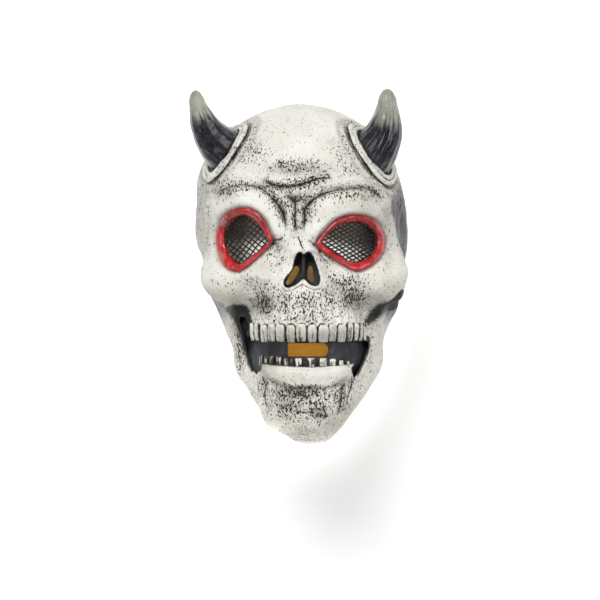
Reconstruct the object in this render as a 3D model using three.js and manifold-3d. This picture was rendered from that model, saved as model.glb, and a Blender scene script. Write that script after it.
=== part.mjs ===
import * as THREE from 'three';
import { mergeVertices } from 'three/addons/utils/BufferGeometryUtils.js';
import Module from 'manifold-3d';

// Overhead latex mask in the form of a horned skull, lying on its back with the
// face up. Millimetres. While it is being shaped: +Y runs to the crown, +Z out
// through the face, z = 0 on the widest part of the head. At the end everything
// is moved so that the lowest point stands on z = 0 and the plan is centred.

const wasm = await Module();
wasm.setup();
const { Manifold, Mesh: SolidMesh } = wasm;

// ---------------------------------------------------------------- sizes
const WALL = 2.8;                 // latex thickness at its thinnest
const REST_Z = -110.5;            // plane of the flat spot on the back of the head
const SKIN = { columns: 46, rows: 39, crown: 0.17 };
const LINING = { columns: 30, rows: 24, crown: 0.2, step: 3 };
const CROWN_Y = 30;               // above this the skin is laid out from one centre
const FOOT_Y = -172.2;            // underside of the chin
const SCREEN_GAP = 0.4;           // between latex and eye screen
const SCREEN_T = 1.0;             // eye screen thickness
const SCREEN_LAP = 5.0;           // screen beyond the edge of the eye hole
const RIM_R = 3.7;                // roll of latex round the eye hole
const COLLAR_R = [3.1, 2.7];      // two ridges round the foot of a horn
const COLLAR_OUT = [2.2, 6.6];    // their distance outside the horn
const MOUTH_FLOOR = 90;           // depth plane of the mouth recess at the middle
const MOUTH_ARCH = 0.0135;        // how fast that floor falls back to the sides
const NOSE_FLOOR = 91;
const UPPER_TEETH = 14;
const LOWER_TEETH = 10;

// rim of the mask seen from the side: height of the trimmed edge at a given depth
const TRIM = [[140, -178], [88, -177], [76, -159], [60, -149], [40, -137],
  [18, -124], [-12, -113], [-50, -104], [-130, -99]];

// centre line of each horn with the radius at each of its points, foot to tip
const HORNS = [
  { line: [[-50, 76, 22], [-68.5, 89, 35], [-77, 96, 42], [-84.3, 106, 48], [-89.3, 117, 53], [-93, 128.5, 56], [-95.2, 140.6, 58]],
    radii: [22, 21.2, 17.8, 14.2, 10.9, 7.4, 0], foot: [-64, 84, 32], out: [-0.81, 0.53, 0.27], r: 22.5 },
  { line: [[46, 70, 28], [60.5, 84.5, 44], [66.5, 93.5, 52], [71.3, 104, 58], [73.4, 116, 63], [74, 129.5, 66.5], [74, 141.6, 68]],
    radii: [24, 22, 19.6, 16.6, 12.6, 8.2, 0], foot: [59, 82, 41], out: [0.595, 0.716, 0.37], r: 23 },
];

// eye holes: a few points of each outline, seen from the front
const EYE_LEFT = [[-68.2, 10], [-62.6, 25], [-51.4, 30.3], [-39, 22], [-30, 7.5], [-41.8, -3.1], [-54.7, -12.3], [-66, -1]];
const EYE_RIGHT = [[16.5, 6.5], [28.2, 19.4], [44.3, 24.4], [59.1, 19.4], [64.3, 5.9], [57.2, -6.5], [43, -10.8], [29.5, -3.4]];
const NOSE_LEFT = [[0.4, -5.4], [-5, -4.4], [-8.2, -14], [-12, -23.4], [-16.6, -28.2], [-14, -32.3], [-7.5, -30.5], [0.3, -25.8]];
const NOSE_RIGHT = [[0.4, -5.4], [5.6, -3], [10.6, -11.4], [13.4, -21], [14.4, -27], [10.6, -31], [5.4, -28.8], [0.3, -25.8]];
const MOUTH = [[-61, -65], [-53, -63.6], [-47.5, -69], [-46.5, -77.5], [-2, -80.6], [24, -80.6], [52, -79.5], [57.6, -83],
  [55.2, -91.5], [50.6, -102.8], [45, -112.2], [42.6, -104], [44, -99.5], [22, -101.4], [4, -102.4], [-16, -101.2], [-35.5, -98],
  [-37.6, -101], [-40.8, -109], [-45.5, -101], [-51.5, -86], [-58, -75]];

// ---------------------------------------------------------------- field of the head
const clamp = (v, a, b) => Math.min(b, Math.max(a, v));
const ease = (t) => { const c = clamp(t, 0, 1); return c * c * (3 - 2 * c); };
const join = (a, b, k) => { const h = Math.max(k - Math.abs(a - b), 0) / k; return Math.min(a, b) - h * h * k * 0.25; };
const carve = (a, b, k) => -join(-a, b, k);

function ball(x, y, z, c, r) {
  const qx = (x - c[0]) / r[0], qy = (y - c[1]) / r[1], qz = (z - c[2]) / r[2];
  const k0 = Math.hypot(qx, qy, qz) + 1e-9;
  const k1 = Math.hypot(qx / r[0], qy / r[1], qz / r[2]) + 1e-9;
  return k0 * (k0 - 1) / k1;
}
// round seen from above, squarer seen from the side
function drum(x, y, z, c, r) {
  const qx = (x - c[0]) / r[0], qy = (y - c[1]) / r[1], qz = (z - c[2]) / r[2];
  const s = qx * qx + qz * qz;
  const g = s * s + qy ** 4 + 1e-9;
  const slope = g ** -0.75 * Math.hypot(s * qx / r[0], qy ** 3 / r[1], s * qz / r[2]) + 1e-9;
  return (g ** 0.25 - 1) / slope;
}
function limb(x, y, z, a, b, ra, rb) {
  const dx = b[0] - a[0], dy = b[1] - a[1], dz = b[2] - a[2];
  const t = clamp(((x - a[0]) * dx + (y - a[1]) * dy + (z - a[2]) * dz) / (dx * dx + dy * dy + dz * dz), 0, 1);
  return Math.hypot(x - a[0] - t * dx, y - a[1] - t * dy, z - a[2] - t * dz) - (ra + (rb - ra) * t);
}
// the face is not quite symmetrical: its middle line drifts to +X towards the chin
function drift(x, y) {
  const inner = -5.5 + 14.5 * ease((10 - y) / 170);
  const outer = -1.5 + 6 * ease((40 - y) / 120);
  return inner + (outer - inner) * ease(Math.abs(x) / 70);
}
// a bell round a height
const swell = (y, c, w) => Math.exp(-0.5 * ((y - c) / w) ** 2);
// the waist under one temple and the fullness of the other
function waisted(x, y, z) {
  if (x < 0) return x - 3.6 * swell(y, -8, 8) * ease((-x - 40) / 40) * ease((16 - z) / 30);
  return x - 0.82 * swell(y, 15, 14) * ease((x - 40) / 40);
}
// how far each side of the jaw and of the chin is drawn in
function slimmed(f, y) {
  const s = Math.abs(f), far = ease((s - 25) / 45);
  if (f < 0) return -(s + (3.4 * swell(y, -92, 14) + 2.2 * swell(y, -54, 11)) * far + 1.2 * swell(y, -140, 5) * ease(s / 30));
  return s + (3.2 * swell(y, -32, 6.5) - 2.6 * swell(y, -49, 6) + 5.4 * swell(y, -80, 16)) * far
    + 8.5 * swell(y, -153, 13) * ease(s / 32);
}
function head(x, y, z) {
  x = waisted(x, y, z);
  const f = slimmed(x - drift(x, y), y);
  const s = Math.abs(f);
  // braincase, back of the head, neck skirt, forehead
  let d = ball(x, y, z, [-2, 30, -14], [93, 99, 104]);
  d = join(d, ball(x, y, z, [0, -4, -27], [88, 84, 88]), 20);
  d = join(d, ball(x, y, z, [2, -76, -30], [58, 62, 54]), 28);
  d = join(d, ball(f, y, z, [0, 58, 22], [74, 60, 76]), 25);
  d = join(d, ball(x, y, z, [-60, 62, -18], [32, 28, 50]), 12);
  // temple hollows
  d = carve(d, ball(s, y, z, [101, 18, 24], [23, 48, 34]), 8);
  // upper face and puffed lids
  let face = drum(f, y, z, [0, 10, 24], [79, 58, 73]);
  let lid = limb(s, y, z, [70, 32, 54], [62, 42, 68], 10, 12);
  lid = join(lid, limb(s, y, z, [62, 42, 68], [46, 46, 80], 12, 13), 10);
  lid = join(lid, limb(s, y, z, [46, 46, 80], [26, 38, 88], 13, 12), 10);
  lid = join(lid, limb(s, y, z, [26, 38, 88], [15, 18, 90], 12, 9), 10);
  face = join(face, lid, 10);
  // folds between the brows, nasal bones, outer edge of the eye sockets
  face = join(face, limb(s, y, z, [5, 50, 90], [4, 16, 92], 11, 9), 8);
  face = join(face, limb(f, y, z, [0, 14, 86], [0, -4, 96], 14, 14), 12);
  face = join(face, limb(s, y, z, [74, 34, 44], [76, -16, 48], 9, 12), 12);
  // cheekbones with the arch running back
  let cheek = ball(s, y, z, [62, -27, 58], [29, 21, 23]);
  cheek = join(cheek, limb(s, y, z, [70, -29, 54], [85, -25, 4], 14, 7), 10);
  face = join(face, cheek, 14);
  // upper jaw, lower jaw, chin, gum
  let jaw = drum(f, y, z, [0, -44, 52], [56, 36, 60]);
  jaw = join(jaw, ball(f, y, z, [0, -66, 58], [51, 18, 58]), 10);
  jaw = join(jaw, ball(f, y, z, [0, -98, 48], [50, 46, 56]), 14);
  jaw = join(jaw, limb(f, y, z, [0, -38, 100], [0, -62, 100], 15, 14), 14);
  jaw = join(jaw, ball(f, y, z, [0, -131, 70], [39, 41, 42]), 10);
  let gum = limb(s, y, z, [41, -97, 80], [24, -106, 96], 4, 9);
  gum = join(gum, limb(s, y, z, [24, -106, 96], [0, -110, 103], 9, 10.5), 8);
  jaw = join(jaw, gum, 5);
  // branch of the jaw and the floor of the gap in front of it
  let branch = limb(s, y, z, [73, -30, 5], [49, -98, 26], 9, 15);
  branch = join(branch, limb(s, y, z, [49, -98, 26], [24, -136, 68], 15, 21), 12);
  face = join(face, jaw, 14);
  face = join(face, ball(s, y, z, [44, -72, 36], [26, 40, 26]), 14);
  face = join(face, branch, 12);
  d = join(d, face, 10 + 20 * ease((-20 - y) / 40));
  // hollows under the cheekbones
  return carve(d, ball(s, y, z, [60, -60, 82], [13, 17, 22]), 10);
}
function slope(p, e = 0.5) {
  return new THREE.Vector3(
    head(p.x + e, p.y, p.z) - head(p.x - e, p.y, p.z),
    head(p.x, p.y + e, p.z) - head(p.x, p.y - e, p.z),
    head(p.x, p.y, p.z + e) - head(p.x, p.y, p.z - e)).normalize();
}
// outermost crossing of a level of the field along a ray
function reach(from, dir, level, far = 230) {
  let t = far;
  for (let i = 0; i < 160; i++) {
    const d = head(from.x + dir.x * t, from.y + dir.y * t, from.z + dir.z * t) - level;
    if (d < 0.004) break;
    t -= d * 0.85;
    if (t < 0) return 0;
  }
  return t;
}
const frontOf = (x, y, level = 0) => 180 - (() => {
  let t = 0;
  for (let i = 0; i < 160; i++) {
    const d = head(x, y, 180 - t) - level;
    if (d < 0.004) break;
    t += d * 0.85;
    if (t > 260) break;
  }
  return t;
})();

// ---------------------------------------------------------------- solids
function solidOf(geometry) {
  const g = geometry.clone();
  for (const name of Object.keys(g.attributes)) if (name !== 'position') g.deleteAttribute(name);
  const m = mergeVertices(g, 1e-4);
  const s = new Manifold(new SolidMesh({
    numProp: 3,
    vertProperties: new Float32Array(m.attributes.position.array),
    triVerts: new Uint32Array(m.index.array),
  }));
  return s;
}
// closed form laid out like a globe: at(u, v) places column u, row v
function globe(columns, rows, at) {
  const g = new THREE.SphereGeometry(1, columns, rows);
  const pos = g.attributes.position;
  const stride = columns + 1;
  for (let j = 0; j <= rows; j++) {
    for (let i = 0; i <= columns; i++) {
      const k = j * stride + i;
      const pole = j === 0 || j === rows;
      const p = at(pole ? 0 : (i % columns) / columns, j / rows);
      pos.setXYZ(k, p.x, p.y, p.z);
    }
  }
  return g;
}
// where a ray of the skin starts and which way it goes: horizontal rays up to
// CROWN_Y, rays from one centre above it; closer columns across the face
function rayAt(u, v, level, crown) {
  const w = u - 0.5;
  const a = 2 * Math.PI * w - 0.52 * Math.sin(2 * Math.PI * w);
  if (v < crown) {
    const lift = (1 - v / crown) * Math.PI / 2;
    return {
      from: new THREE.Vector3(0, CROWN_Y, -6),
      dir: new THREE.Vector3(Math.sin(a) * Math.cos(lift), Math.sin(lift), Math.cos(a) * Math.cos(lift)),
    };
  }
  const q = (v - crown) / (1 - crown);
  const y = CROWN_Y + (FOOT_Y - level - CROWN_Y) * (q < 0.86 ? q * 1.055 : 0.9073 + 0.0927 * Math.sin((q - 0.86) / 0.14 * Math.PI / 2));
  const back = ease((-50 - y) / 90);
  return { from: new THREE.Vector3(8 * back, y, -6 + 78 * back), dir: new THREE.Vector3(Math.sin(a), 0, Math.cos(a)) };
}
// the skin of the head at a level of the field; a lining (level below 0) also
// follows no step steeper than LINING.step, so that no wall runs thin
function skin(level, grid) {
  const { columns, rows, crown } = grid;
  return globe(columns, rows, (u, v) => {
    const ray = rayAt(u, v, level, crown);
    let t = v >= 1 ? 0 : reach(ray.from, ray.dir, level);
    if (level < 0 && v > 0 && v < 1) {
      for (const [i, j] of [[0.5, 0], [-0.5, 0], [0, 0.5], [0, -0.5]]) {
        const near = rayAt((u + i / columns + 1) % 1, Math.min(v + j / rows, 0.9999), level, crown);
        t = Math.min(t, reach(near.from, near.dir, level) + LINING.step);
      }
    }
    const p = ray.from.clone().addScaledVector(ray.dir, t);
    p.z = Math.max(p.z, REST_Z - level);
    return p;
  });
}
function outline(points, count = 40, tension = 0.5) {
  const c = new THREE.CatmullRomCurve3(points.map((p) => new THREE.Vector3(p[0], p[1], 0)), true, 'catmullrom', tension);
  return c.getSpacedPoints(count).slice(0, count).map((p) => new THREE.Vector2(p.x, p.y));
}
function grown(points, by) {
  const ccw = THREE.ShapeUtils.area(points) > 0 ? 1 : -1;
  return points.map((p, i) => {
    const a = points[(i + points.length - 1) % points.length], b = points[(i + 1) % points.length];
    const t = new THREE.Vector2().subVectors(b, a).normalize();
    return new THREE.Vector2(p.x + t.y * by * ccw, p.y - t.x * by * ccw);
  });
}
function prism(points, z0, z1) {
  const g = new THREE.ExtrudeGeometry(new THREE.Shape(points), { depth: z1 - z0, bevelEnabled: false });
  return solidOf(g.translate(0, 0, z0));
}
// everything in front of the floor of the mouth recess
function mouthFront(back) {
  const s = new THREE.Shape();
  s.moveTo(-80, 220);
  for (let x = -80; x <= 80; x += 8) s.lineTo(x, MOUTH_FLOOR - back - MOUTH_ARCH * (x - 3) ** 2);
  s.lineTo(80, 220);
  const g = new THREE.ExtrudeGeometry(s, { depth: 90, bevelEnabled: false });
  g.rotateX(Math.PI / 2);                // shape y becomes z, depth runs to -y
  return solidOf(g.translate(0, -45, 0));
}
function belowTrim() {
  const s = new THREE.Shape();
  s.moveTo(TRIM[0][0], -260);
  for (const [z, y] of TRIM) s.lineTo(z, y);
  s.lineTo(TRIM[TRIM.length - 1][0], -260);
  const g = new THREE.ExtrudeGeometry(s, { depth: 300, bevelEnabled: false });
  g.rotateY(-Math.PI / 2);               // shape x becomes z, depth runs to -x
  return solidOf(g.translate(150, 0, 0));
}
function ring(points, radius, around = 4) {
  const c = new THREE.CatmullRomCurve3(points, true);
  return solidOf(new THREE.TubeGeometry(c, points.length, radius, around, true));
}
function hornLine(h) {
  return new THREE.CatmullRomCurve3(h.line.map((p) => new THREE.Vector3(...p)));
}
function hornRadius(h, t) {
  const last = h.radii.length - 1, k = Math.min(Math.floor(t * last), last - 1), f = t * last - k;
  if (k === last - 1) return h.radii[k] * Math.sqrt(Math.max(0, 1 - f));
  return h.radii[k] + (h.radii[k + 1] - h.radii[k]) * f;
}
function hornBody(h, inset, end, columns, rows) {
  const line = hornLine(h);
  return solidOf(globe(columns, rows, (u, v) => {
    const t = (1 - v) * end;
    const p = line.getPoint(t);
    const r = v <= 0 || v >= 1 ? 0 : Math.max(hornRadius(h, t) - inset, 0.4);
    const along = line.getTangent(t);
    const side = new THREE.Vector3(0, 0, 1).cross(along).normalize();
    const up = along.clone().cross(side);
    const a = u * 2 * Math.PI;
    return p.addScaledVector(side, Math.cos(a) * r).addScaledVector(up, Math.sin(a) * r);
  }));
}
function hornCollar(h, i) {
  const out = new THREE.Vector3(...h.out).normalize();
  const side = new THREE.Vector3(0, 0, 1).cross(out).normalize();
  const up = out.clone().cross(side);
  const R = h.r + COLLAR_OUT[i];
  const pts = [];
  for (let k = 0; k < 17; k++) {
    const a = k / 17 * 2 * Math.PI;
    const p = new THREE.Vector3(...h.foot).addScaledVector(side, Math.cos(a) * R).addScaledVector(up, Math.sin(a) * R);
    for (let n = 0; n < 12; n++) p.addScaledVector(out, -0.8 * (head(p.x, p.y, p.z) + 1.0) / Math.max(0.4, slope(p).dot(out)));
    pts.push(p);
  }
  return ring(pts, COLLAR_R[i]);
}
function eyeRim(points) {
  const path = grown(outline(points, 22), RIM_R - 0.4)
    .map((p) => new THREE.Vector3(p.x, p.y, frontOf(p.x, p.y) - 0.4));
  return ring(path, RIM_R);
}
function tooth(x, y, w, h, d, proud, taper) {
  const z = frontOf(x, y);
  const n = slope(new THREE.Vector3(x, y, z));
  const g = new THREE.BoxGeometry(w, h, d);
  const p = g.attributes.position;
  for (let i = 0; i < p.count; i++) {
    const low = p.getY(i) < 0 ? 1 : 0, front = p.getZ(i) > 0 ? 1 : 0;
    p.setX(i, p.getX(i) * (1 - taper * low) * (front ? 0.86 : 1));
    if (front) p.setY(i, p.getY(i) * 0.9);
  }
  g.rotateY(Math.atan2(n.x, Math.max(0.35, n.z)));
  return solidOf(g.translate(x, y, z + proud - d / 2));
}

// ---------------------------------------------------------------- the shell
let outer = solidOf(skin(0, SKIN));
for (const h of HORNS) {
  outer = outer.add(hornBody(h, 0, 1, 12, 8));
  for (const i of [0, 1]) outer = outer.add(hornCollar(h, i));
}
outer = outer.add(eyeRim(EYE_LEFT)).add(eyeRim(EYE_RIGHT));

const mouthShape = outline(MOUTH, 36);
const noseShapes = [NOSE_LEFT, NOSE_RIGHT].map((n) => outline(n, 14));
outer = outer.subtract(prism(mouthShape, 20, 200).intersect(mouthFront(0)));
for (const n of noseShapes) outer = outer.subtract(prism(grown(n, -0.5), NOSE_FLOOR, 200));

// teeth follow the curve of the gums; narrower and closer towards the ends
for (let i = 0; i < UPPER_TEETH; i++) {
  const q = (i + 0.5) / UPPER_TEETH * 2 - 1;
  const x = 3.2 + 47.5 * Math.sin(q * 1.28) / Math.sin(1.28);
  const w = 47.5 * 1.28 * Math.cos(q * 1.28) / Math.sin(1.28) * 2 / UPPER_TEETH;
  outer = outer.add(tooth(x, -73.2 + 1.2 * q * q, Math.max(w * 0.95, 4.4), 16, 7, 2.2, 0.12));
}
for (let i = 0; i < LOWER_TEETH; i++) {
  const q = (i + 0.5) / LOWER_TEETH * 2 - 1;
  const x = 4.2 + 37 * Math.sin(q * 1.05) / Math.sin(1.05);
  const w = 37 * 1.05 * Math.cos(q * 1.05) / Math.sin(1.05) * 2 / LOWER_TEETH;
  outer = outer.add(tooth(x, -99.2 + 3.2 * q * q, w * 0.88, 12.5, 6, 0.4, 0));
}

let cavity = solidOf(skin(-WALL, LINING));
for (const h of HORNS) cavity = cavity.add(hornBody(h, WALL, 0.8, 8, 5));
cavity = cavity.subtract(prism(grown(mouthShape, WALL), 20, 200).intersect(mouthFront(WALL)));
for (const n of noseShapes) cavity = cavity.subtract(prism(grown(n, WALL), NOSE_FLOOR - WALL, 200));

let shell = outer.subtract(cavity);
for (const e of [EYE_LEFT, EYE_RIGHT]) shell = shell.subtract(prism(outline(e, 20), 30, 200));
// breathing slot in the mouth and two slots in the nose
const slot = new THREE.Shape();
slot.moveTo(-13, -93); slot.lineTo(17, -93); slot.absarc(17, -88, 5, -Math.PI / 2, 0, false);
slot.absarc(17, -87, 5, 0, Math.PI / 2, false); slot.lineTo(-13, -82);
shell = shell.subtract(prism(slot.getPoints(3), 60, 97));
const nostril = (pts) => prism(pts.map((p) => new THREE.Vector2(...p)), 70, 97);
shell = shell.subtract(nostril([[-9.5, -14], [-3.6, -14], [-3.2, -20], [-9.5, -29], [-15, -30.5], [-14.5, -27]]));
shell = shell.subtract(nostril([[4.2, -14], [9.2, -14], [9.4, -24], [10.2, -29], [6.5, -28.5], [3.2, -24.5]]));
shell = shell.subtract(belowTrim());

// ---------------------------------------------------------------- eye screens
const sheet = solidOf(skin(-WALL - SCREEN_GAP, LINING)).subtract(solidOf(skin(-WALL - SCREEN_GAP - SCREEN_T, LINING)));
const screens = [EYE_LEFT, EYE_RIGHT].map((e) => sheet.intersect(prism(grown(outline(e, 18), SCREEN_LAP), 20, 200)));

// ---------------------------------------------------------------- one group
function geometryOf(solid) {
  const m = solid.getMesh();
  const g = new THREE.BufferGeometry();
  const n = m.vertProperties.length / m.numProp;
  const p = new Float32Array(n * 3);
  for (let i = 0; i < n; i++) for (let k = 0; k < 3; k++) p[i * 3 + k] = m.vertProperties[i * m.numProp + k];
  g.setAttribute('position', new THREE.BufferAttribute(p, 3));
  g.setIndex(new THREE.BufferAttribute(new Uint32Array(m.triVerts), 1));
  return g;
}
const shellGeometry = geometryOf(shell);
shellGeometry.computeBoundingBox();
const box = shellGeometry.boundingBox;
const shift = new THREE.Vector3(-(box.min.x + box.max.x) / 2, -(box.min.y + box.max.y) / 2, -box.min.z);

const latex = new THREE.MeshStandardMaterial({ name: 'bone_latex', color: 0xd9d5c8, roughness: 0.62, metalness: 0 });
const gauze = new THREE.MeshStandardMaterial({ name: 'eye_gauze', color: 0x1d1d1f, roughness: 0.7, metalness: 0 });

const group = new THREE.Group();
group.name = 'horned_skull_mask';
function place(name, geometry, material) {
  geometry.translate(shift.x, shift.y, shift.z);
  const flat = geometry.toNonIndexed();
  flat.computeVertexNormals();
  const mesh = new THREE.Mesh(flat, material);
  mesh.name = name;
  group.add(mesh);
}
place('mask_shell', shellGeometry, latex);
place('eye_mesh_left', geometryOf(screens[0]), gauze);
place('eye_mesh_right', geometryOf(screens[1]), gauze);

export default group;
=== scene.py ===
"""Horned skull mask of cast latex, lying on its back with the face up, on a plain pale floor.

Shaping is done in millimetres: +Y to the crown, +Z out through the face, z = 0 at the widest part of the
head. SHIFT brings that into the row frame. Places on the face are given on a grid of 0.88 mm squares
(u to the right, v downwards, (303, 250) at x = y = 0)."""

import bpy, bmesh, math
import numpy as np
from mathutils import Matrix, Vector


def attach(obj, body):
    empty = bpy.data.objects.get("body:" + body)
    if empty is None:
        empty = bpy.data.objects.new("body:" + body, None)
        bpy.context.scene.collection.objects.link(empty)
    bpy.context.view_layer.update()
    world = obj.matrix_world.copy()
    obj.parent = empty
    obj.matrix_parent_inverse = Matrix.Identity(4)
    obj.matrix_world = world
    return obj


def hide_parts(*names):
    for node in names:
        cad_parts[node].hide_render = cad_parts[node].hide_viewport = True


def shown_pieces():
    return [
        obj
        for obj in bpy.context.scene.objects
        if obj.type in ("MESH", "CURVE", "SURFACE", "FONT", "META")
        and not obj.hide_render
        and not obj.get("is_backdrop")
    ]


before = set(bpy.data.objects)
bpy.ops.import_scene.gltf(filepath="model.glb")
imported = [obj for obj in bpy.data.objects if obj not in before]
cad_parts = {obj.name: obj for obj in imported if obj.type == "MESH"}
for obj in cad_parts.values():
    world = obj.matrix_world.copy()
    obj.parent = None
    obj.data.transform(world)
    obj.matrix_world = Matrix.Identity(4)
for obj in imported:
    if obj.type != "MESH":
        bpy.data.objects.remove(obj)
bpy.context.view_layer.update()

SHIFT = np.array([3.1635, 14.0247, 110.5])
CELL = 0.88
REST_Z = -110.5
WALL = 2.6
CROWN_Y = 62.0
FOOT_Y = -172.2
COLUMNS, FACE_ROWS, CROWN_ROWS = 340, 230, 46
RNG = np.random.default_rng(20)

# ------------------------------------------------------------------ small maths
def ease(t):
    t = np.clip(t, 0.0, 1.0)
    return t * t * (3 - 2 * t)

def mix(a, b, t):
    return a + (b - a) * t

def join(a, b, k):
    h = np.maximum(k - np.abs(a - b), 0) / k
    return np.minimum(a, b) - h * h * k * 0.25

def carve(a, b, k):
    return -join(-a, b, k)

def ball(x, y, z, c, r):
    qx, qy, qz = (x - c[0]) / r[0], (y - c[1]) / r[1], (z - c[2]) / r[2]
    k0 = np.sqrt(qx * qx + qy * qy + qz * qz) + 1e-9
    k1 = np.sqrt((qx / r[0]) ** 2 + (qy / r[1]) ** 2 + (qz / r[2]) ** 2) + 1e-9
    return k0 * (k0 - 1) / k1

def drum(x, y, z, c, r):
    qx, qy, qz = (x - c[0]) / r[0], (y - c[1]) / r[1], (z - c[2]) / r[2]
    s = qx * qx + qz * qz
    g = s * s + qy ** 4 + 1e-9
    slope = g ** -0.75 * np.sqrt((s * qx / r[0]) ** 2 + (qy ** 3 / r[1]) ** 2 + (s * qz / r[2]) ** 2) + 1e-9
    return (g ** 0.25 - 1) / slope

def limb(x, y, z, a, b, ra, rb):
    dx, dy, dz = b[0] - a[0], b[1] - a[1], b[2] - a[2]
    t = np.clip(((x - a[0]) * dx + (y - a[1]) * dy + (z - a[2]) * dz) / (dx * dx + dy * dy + dz * dz), 0, 1)
    return np.sqrt((x - a[0] - t * dx) ** 2 + (y - a[1] - t * dy) ** 2 + (z - a[2] - t * dz) ** 2) - (ra + (rb - ra) * t)

def drift(x, y):
    inner = -5.5 + 14.5 * ease((10 - y) / 170)
    outer = -1.5 + 6 * ease((40 - y) / 120)
    return inner + (outer - inner) * ease(np.abs(x) / 70)

def swell(y, c, w):
    return np.exp(-0.5 * ((y - c) / w) ** 2)

def waisted(x, y, z):
    return x - np.where(x < 0, 3.6 * swell(y, -8, 8) * ease((-x - 40) / 40) * ease((16 - z) / 30),
                        0.82 * swell(y, 15, 14) * ease((x - 40) / 40))

def slimmed(f, y):
    s = np.abs(f)
    far = ease((s - 25) / 45)
    right = 3.2 * swell(y, -32, 6.5) - 2.6 * swell(y, -49, 6) + 5.4 * swell(y, -80, 16)
    left = 3.4 * swell(y, -92, 14) + 2.2 * swell(y, -54, 11)
    return np.where(f < 0, -(s + left * far + 1.2 * swell(y, -140, 5) * ease(s / 30)),
                    s + right * far + 8.5 * swell(y, -153, 13) * ease(s / 32))

def head(x, y, z):
    """The field of the head: below 0 inside."""
    x = waisted(x, y, z)
    f = slimmed(x - drift(x, y), y)
    s = np.abs(f)
    d = ball(x, y, z, (-2, 30, -14), (93, 99, 104))
    d = join(d, ball(x, y, z, (0, -4, -27), (88, 84, 88)), 20)
    d = join(d, ball(x, y, z, (2, -76, -30), (58, 62, 54)), 28)
    d = join(d, ball(f, y, z, (0, 58, 22), (74, 60, 76)), 25)
    d = join(d, ball(x, y, z, (-60, 62, -18), (32, 28, 50)), 12)
    d = carve(d, ball(s, y, z, (101, 18, 24), (23, 48, 34)), 8)
    face = drum(f, y, z, (0, 10, 24), (79, 58, 73))
    lid = limb(s, y, z, (70, 32, 54), (62, 42, 68), 10, 12)
    lid = join(lid, limb(s, y, z, (62, 42, 68), (46, 46, 80), 12, 13), 10)
    lid = join(lid, limb(s, y, z, (46, 46, 80), (26, 38, 88), 13, 12), 10)
    lid = join(lid, limb(s, y, z, (26, 38, 88), (15, 18, 90), 12, 9), 10)
    face = join(face, lid, 10)
    face = join(face, limb(s, y, z, (5, 50, 90), (4, 16, 92), 11, 9), 8)
    face = join(face, limb(f, y, z, (0, 14, 86), (0, -4, 96), 14, 14), 12)
    face = join(face, limb(s, y, z, (74, 34, 44), (76, -16, 48), 9, 12), 12)
    cheek = ball(s, y, z, (62, -27, 58), (29, 21, 23))
    cheek = join(cheek, limb(s, y, z, (70, -29, 54), (85, -25, 4), 14, 7), 10)
    face = join(face, cheek, 14)
    jaw = drum(f, y, z, (0, -44, 52), (56, 36, 60))
    jaw = join(jaw, ball(f, y, z, (0, -66, 58), (51, 18, 58)), 10)
    jaw = join(jaw, ball(f, y, z, (0, -98, 48), (50, 46, 56)), 14)
    jaw = join(jaw, limb(f, y, z, (0, -38, 100), (0, -62, 100), 15, 14), 14)
    jaw = join(jaw, ball(f, y, z, (0, -131, 70), (39, 41, 42)), 10)
    gum = limb(s, y, z, (41, -97, 80), (24, -106, 96), 4, 9)
    gum = join(gum, limb(s, y, z, (24, -106, 96), (0, -110, 103), 9, 10.5), 8)
    jaw = join(jaw, gum, 5)
    branch = limb(s, y, z, (73, -30, 5), (49, -98, 26), 9, 15)
    branch = join(branch, limb(s, y, z, (49, -98, 26), (24, -136, 68), 15, 21), 12)
    face = join(face, jaw, 14)
    face = join(face, ball(s, y, z, (44, -72, 36), (26, 40, 26)), 14)
    face = join(face, branch, 12)
    d = join(d, face, 10 + 20 * ease((-20 - y) / 40))
    return carve(d, ball(s, y, z, (60, -60, 82), (13, 17, 22)), 10)

def slope(x, y, z, e=0.6):
    g = np.stack([head(x + e, y, z) - head(x - e, y, z), head(x, y + e, z) - head(x, y - e, z), head(x, y, z + e) - head(x, y, z - e)])
    return g / (np.linalg.norm(g, axis=0) + 1e-9)

def reach(o, d, level=0.0, far=230.0, n=90):
    """Distance along rays (3, N) to the outermost crossing of a level, marched from outside."""
    t = np.full(o.shape[1], far)
    live = np.arange(o.shape[1])
    for _ in range(n):
        p = o[:, live] + d[:, live] * t[live]
        f = head(*p) - level
        t[live] -= f * 0.88
        live = live[(f > 0.01) & (t[live] > 0)]
        if not len(live):
            break
    return np.maximum(t, 0)

def front_of(x, y, level=0.0):
    """Height of the surface straight above (x, y)."""
    x, y = np.broadcast_arrays(np.asarray(x, float), np.asarray(y, float))
    o = np.stack([x.ravel(), y.ravel(), np.full(x.size, -20.0)])
    d = np.zeros_like(o); d[2] = 1
    return (-20 + reach(o, d, level, 200.0)).reshape(x.shape)

def lattice_noise(p, size, seed):
    """Smooth seeded value noise in 0..1 at points (N, 3), with cells of the given size."""
    q = p / size
    i = np.floor(q).astype(np.int64)
    w = q - i
    w = w * w * (3 - 2 * w)
    out = np.zeros(len(p))
    for dx in (0, 1):
        for dy in (0, 1):
            for dz in (0, 1):
                h = ((i[:, 0] + dx) * 73856093) ^ ((i[:, 1] + dy) * 19349663) ^ ((i[:, 2] + dz) * 83492791) ^ (seed * 2654435761)
                h = (h ^ (h >> 13)) * 1274126177 & 0x7FFFFFFF
                r = ((h ^ (h >> 16)) & 0xFFFF) / 65535.0
                out += r * (w[:, 0] if dx else 1 - w[:, 0]) * (w[:, 1] if dy else 1 - w[:, 1]) * (w[:, 2] if dz else 1 - w[:, 2])
    return out

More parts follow.
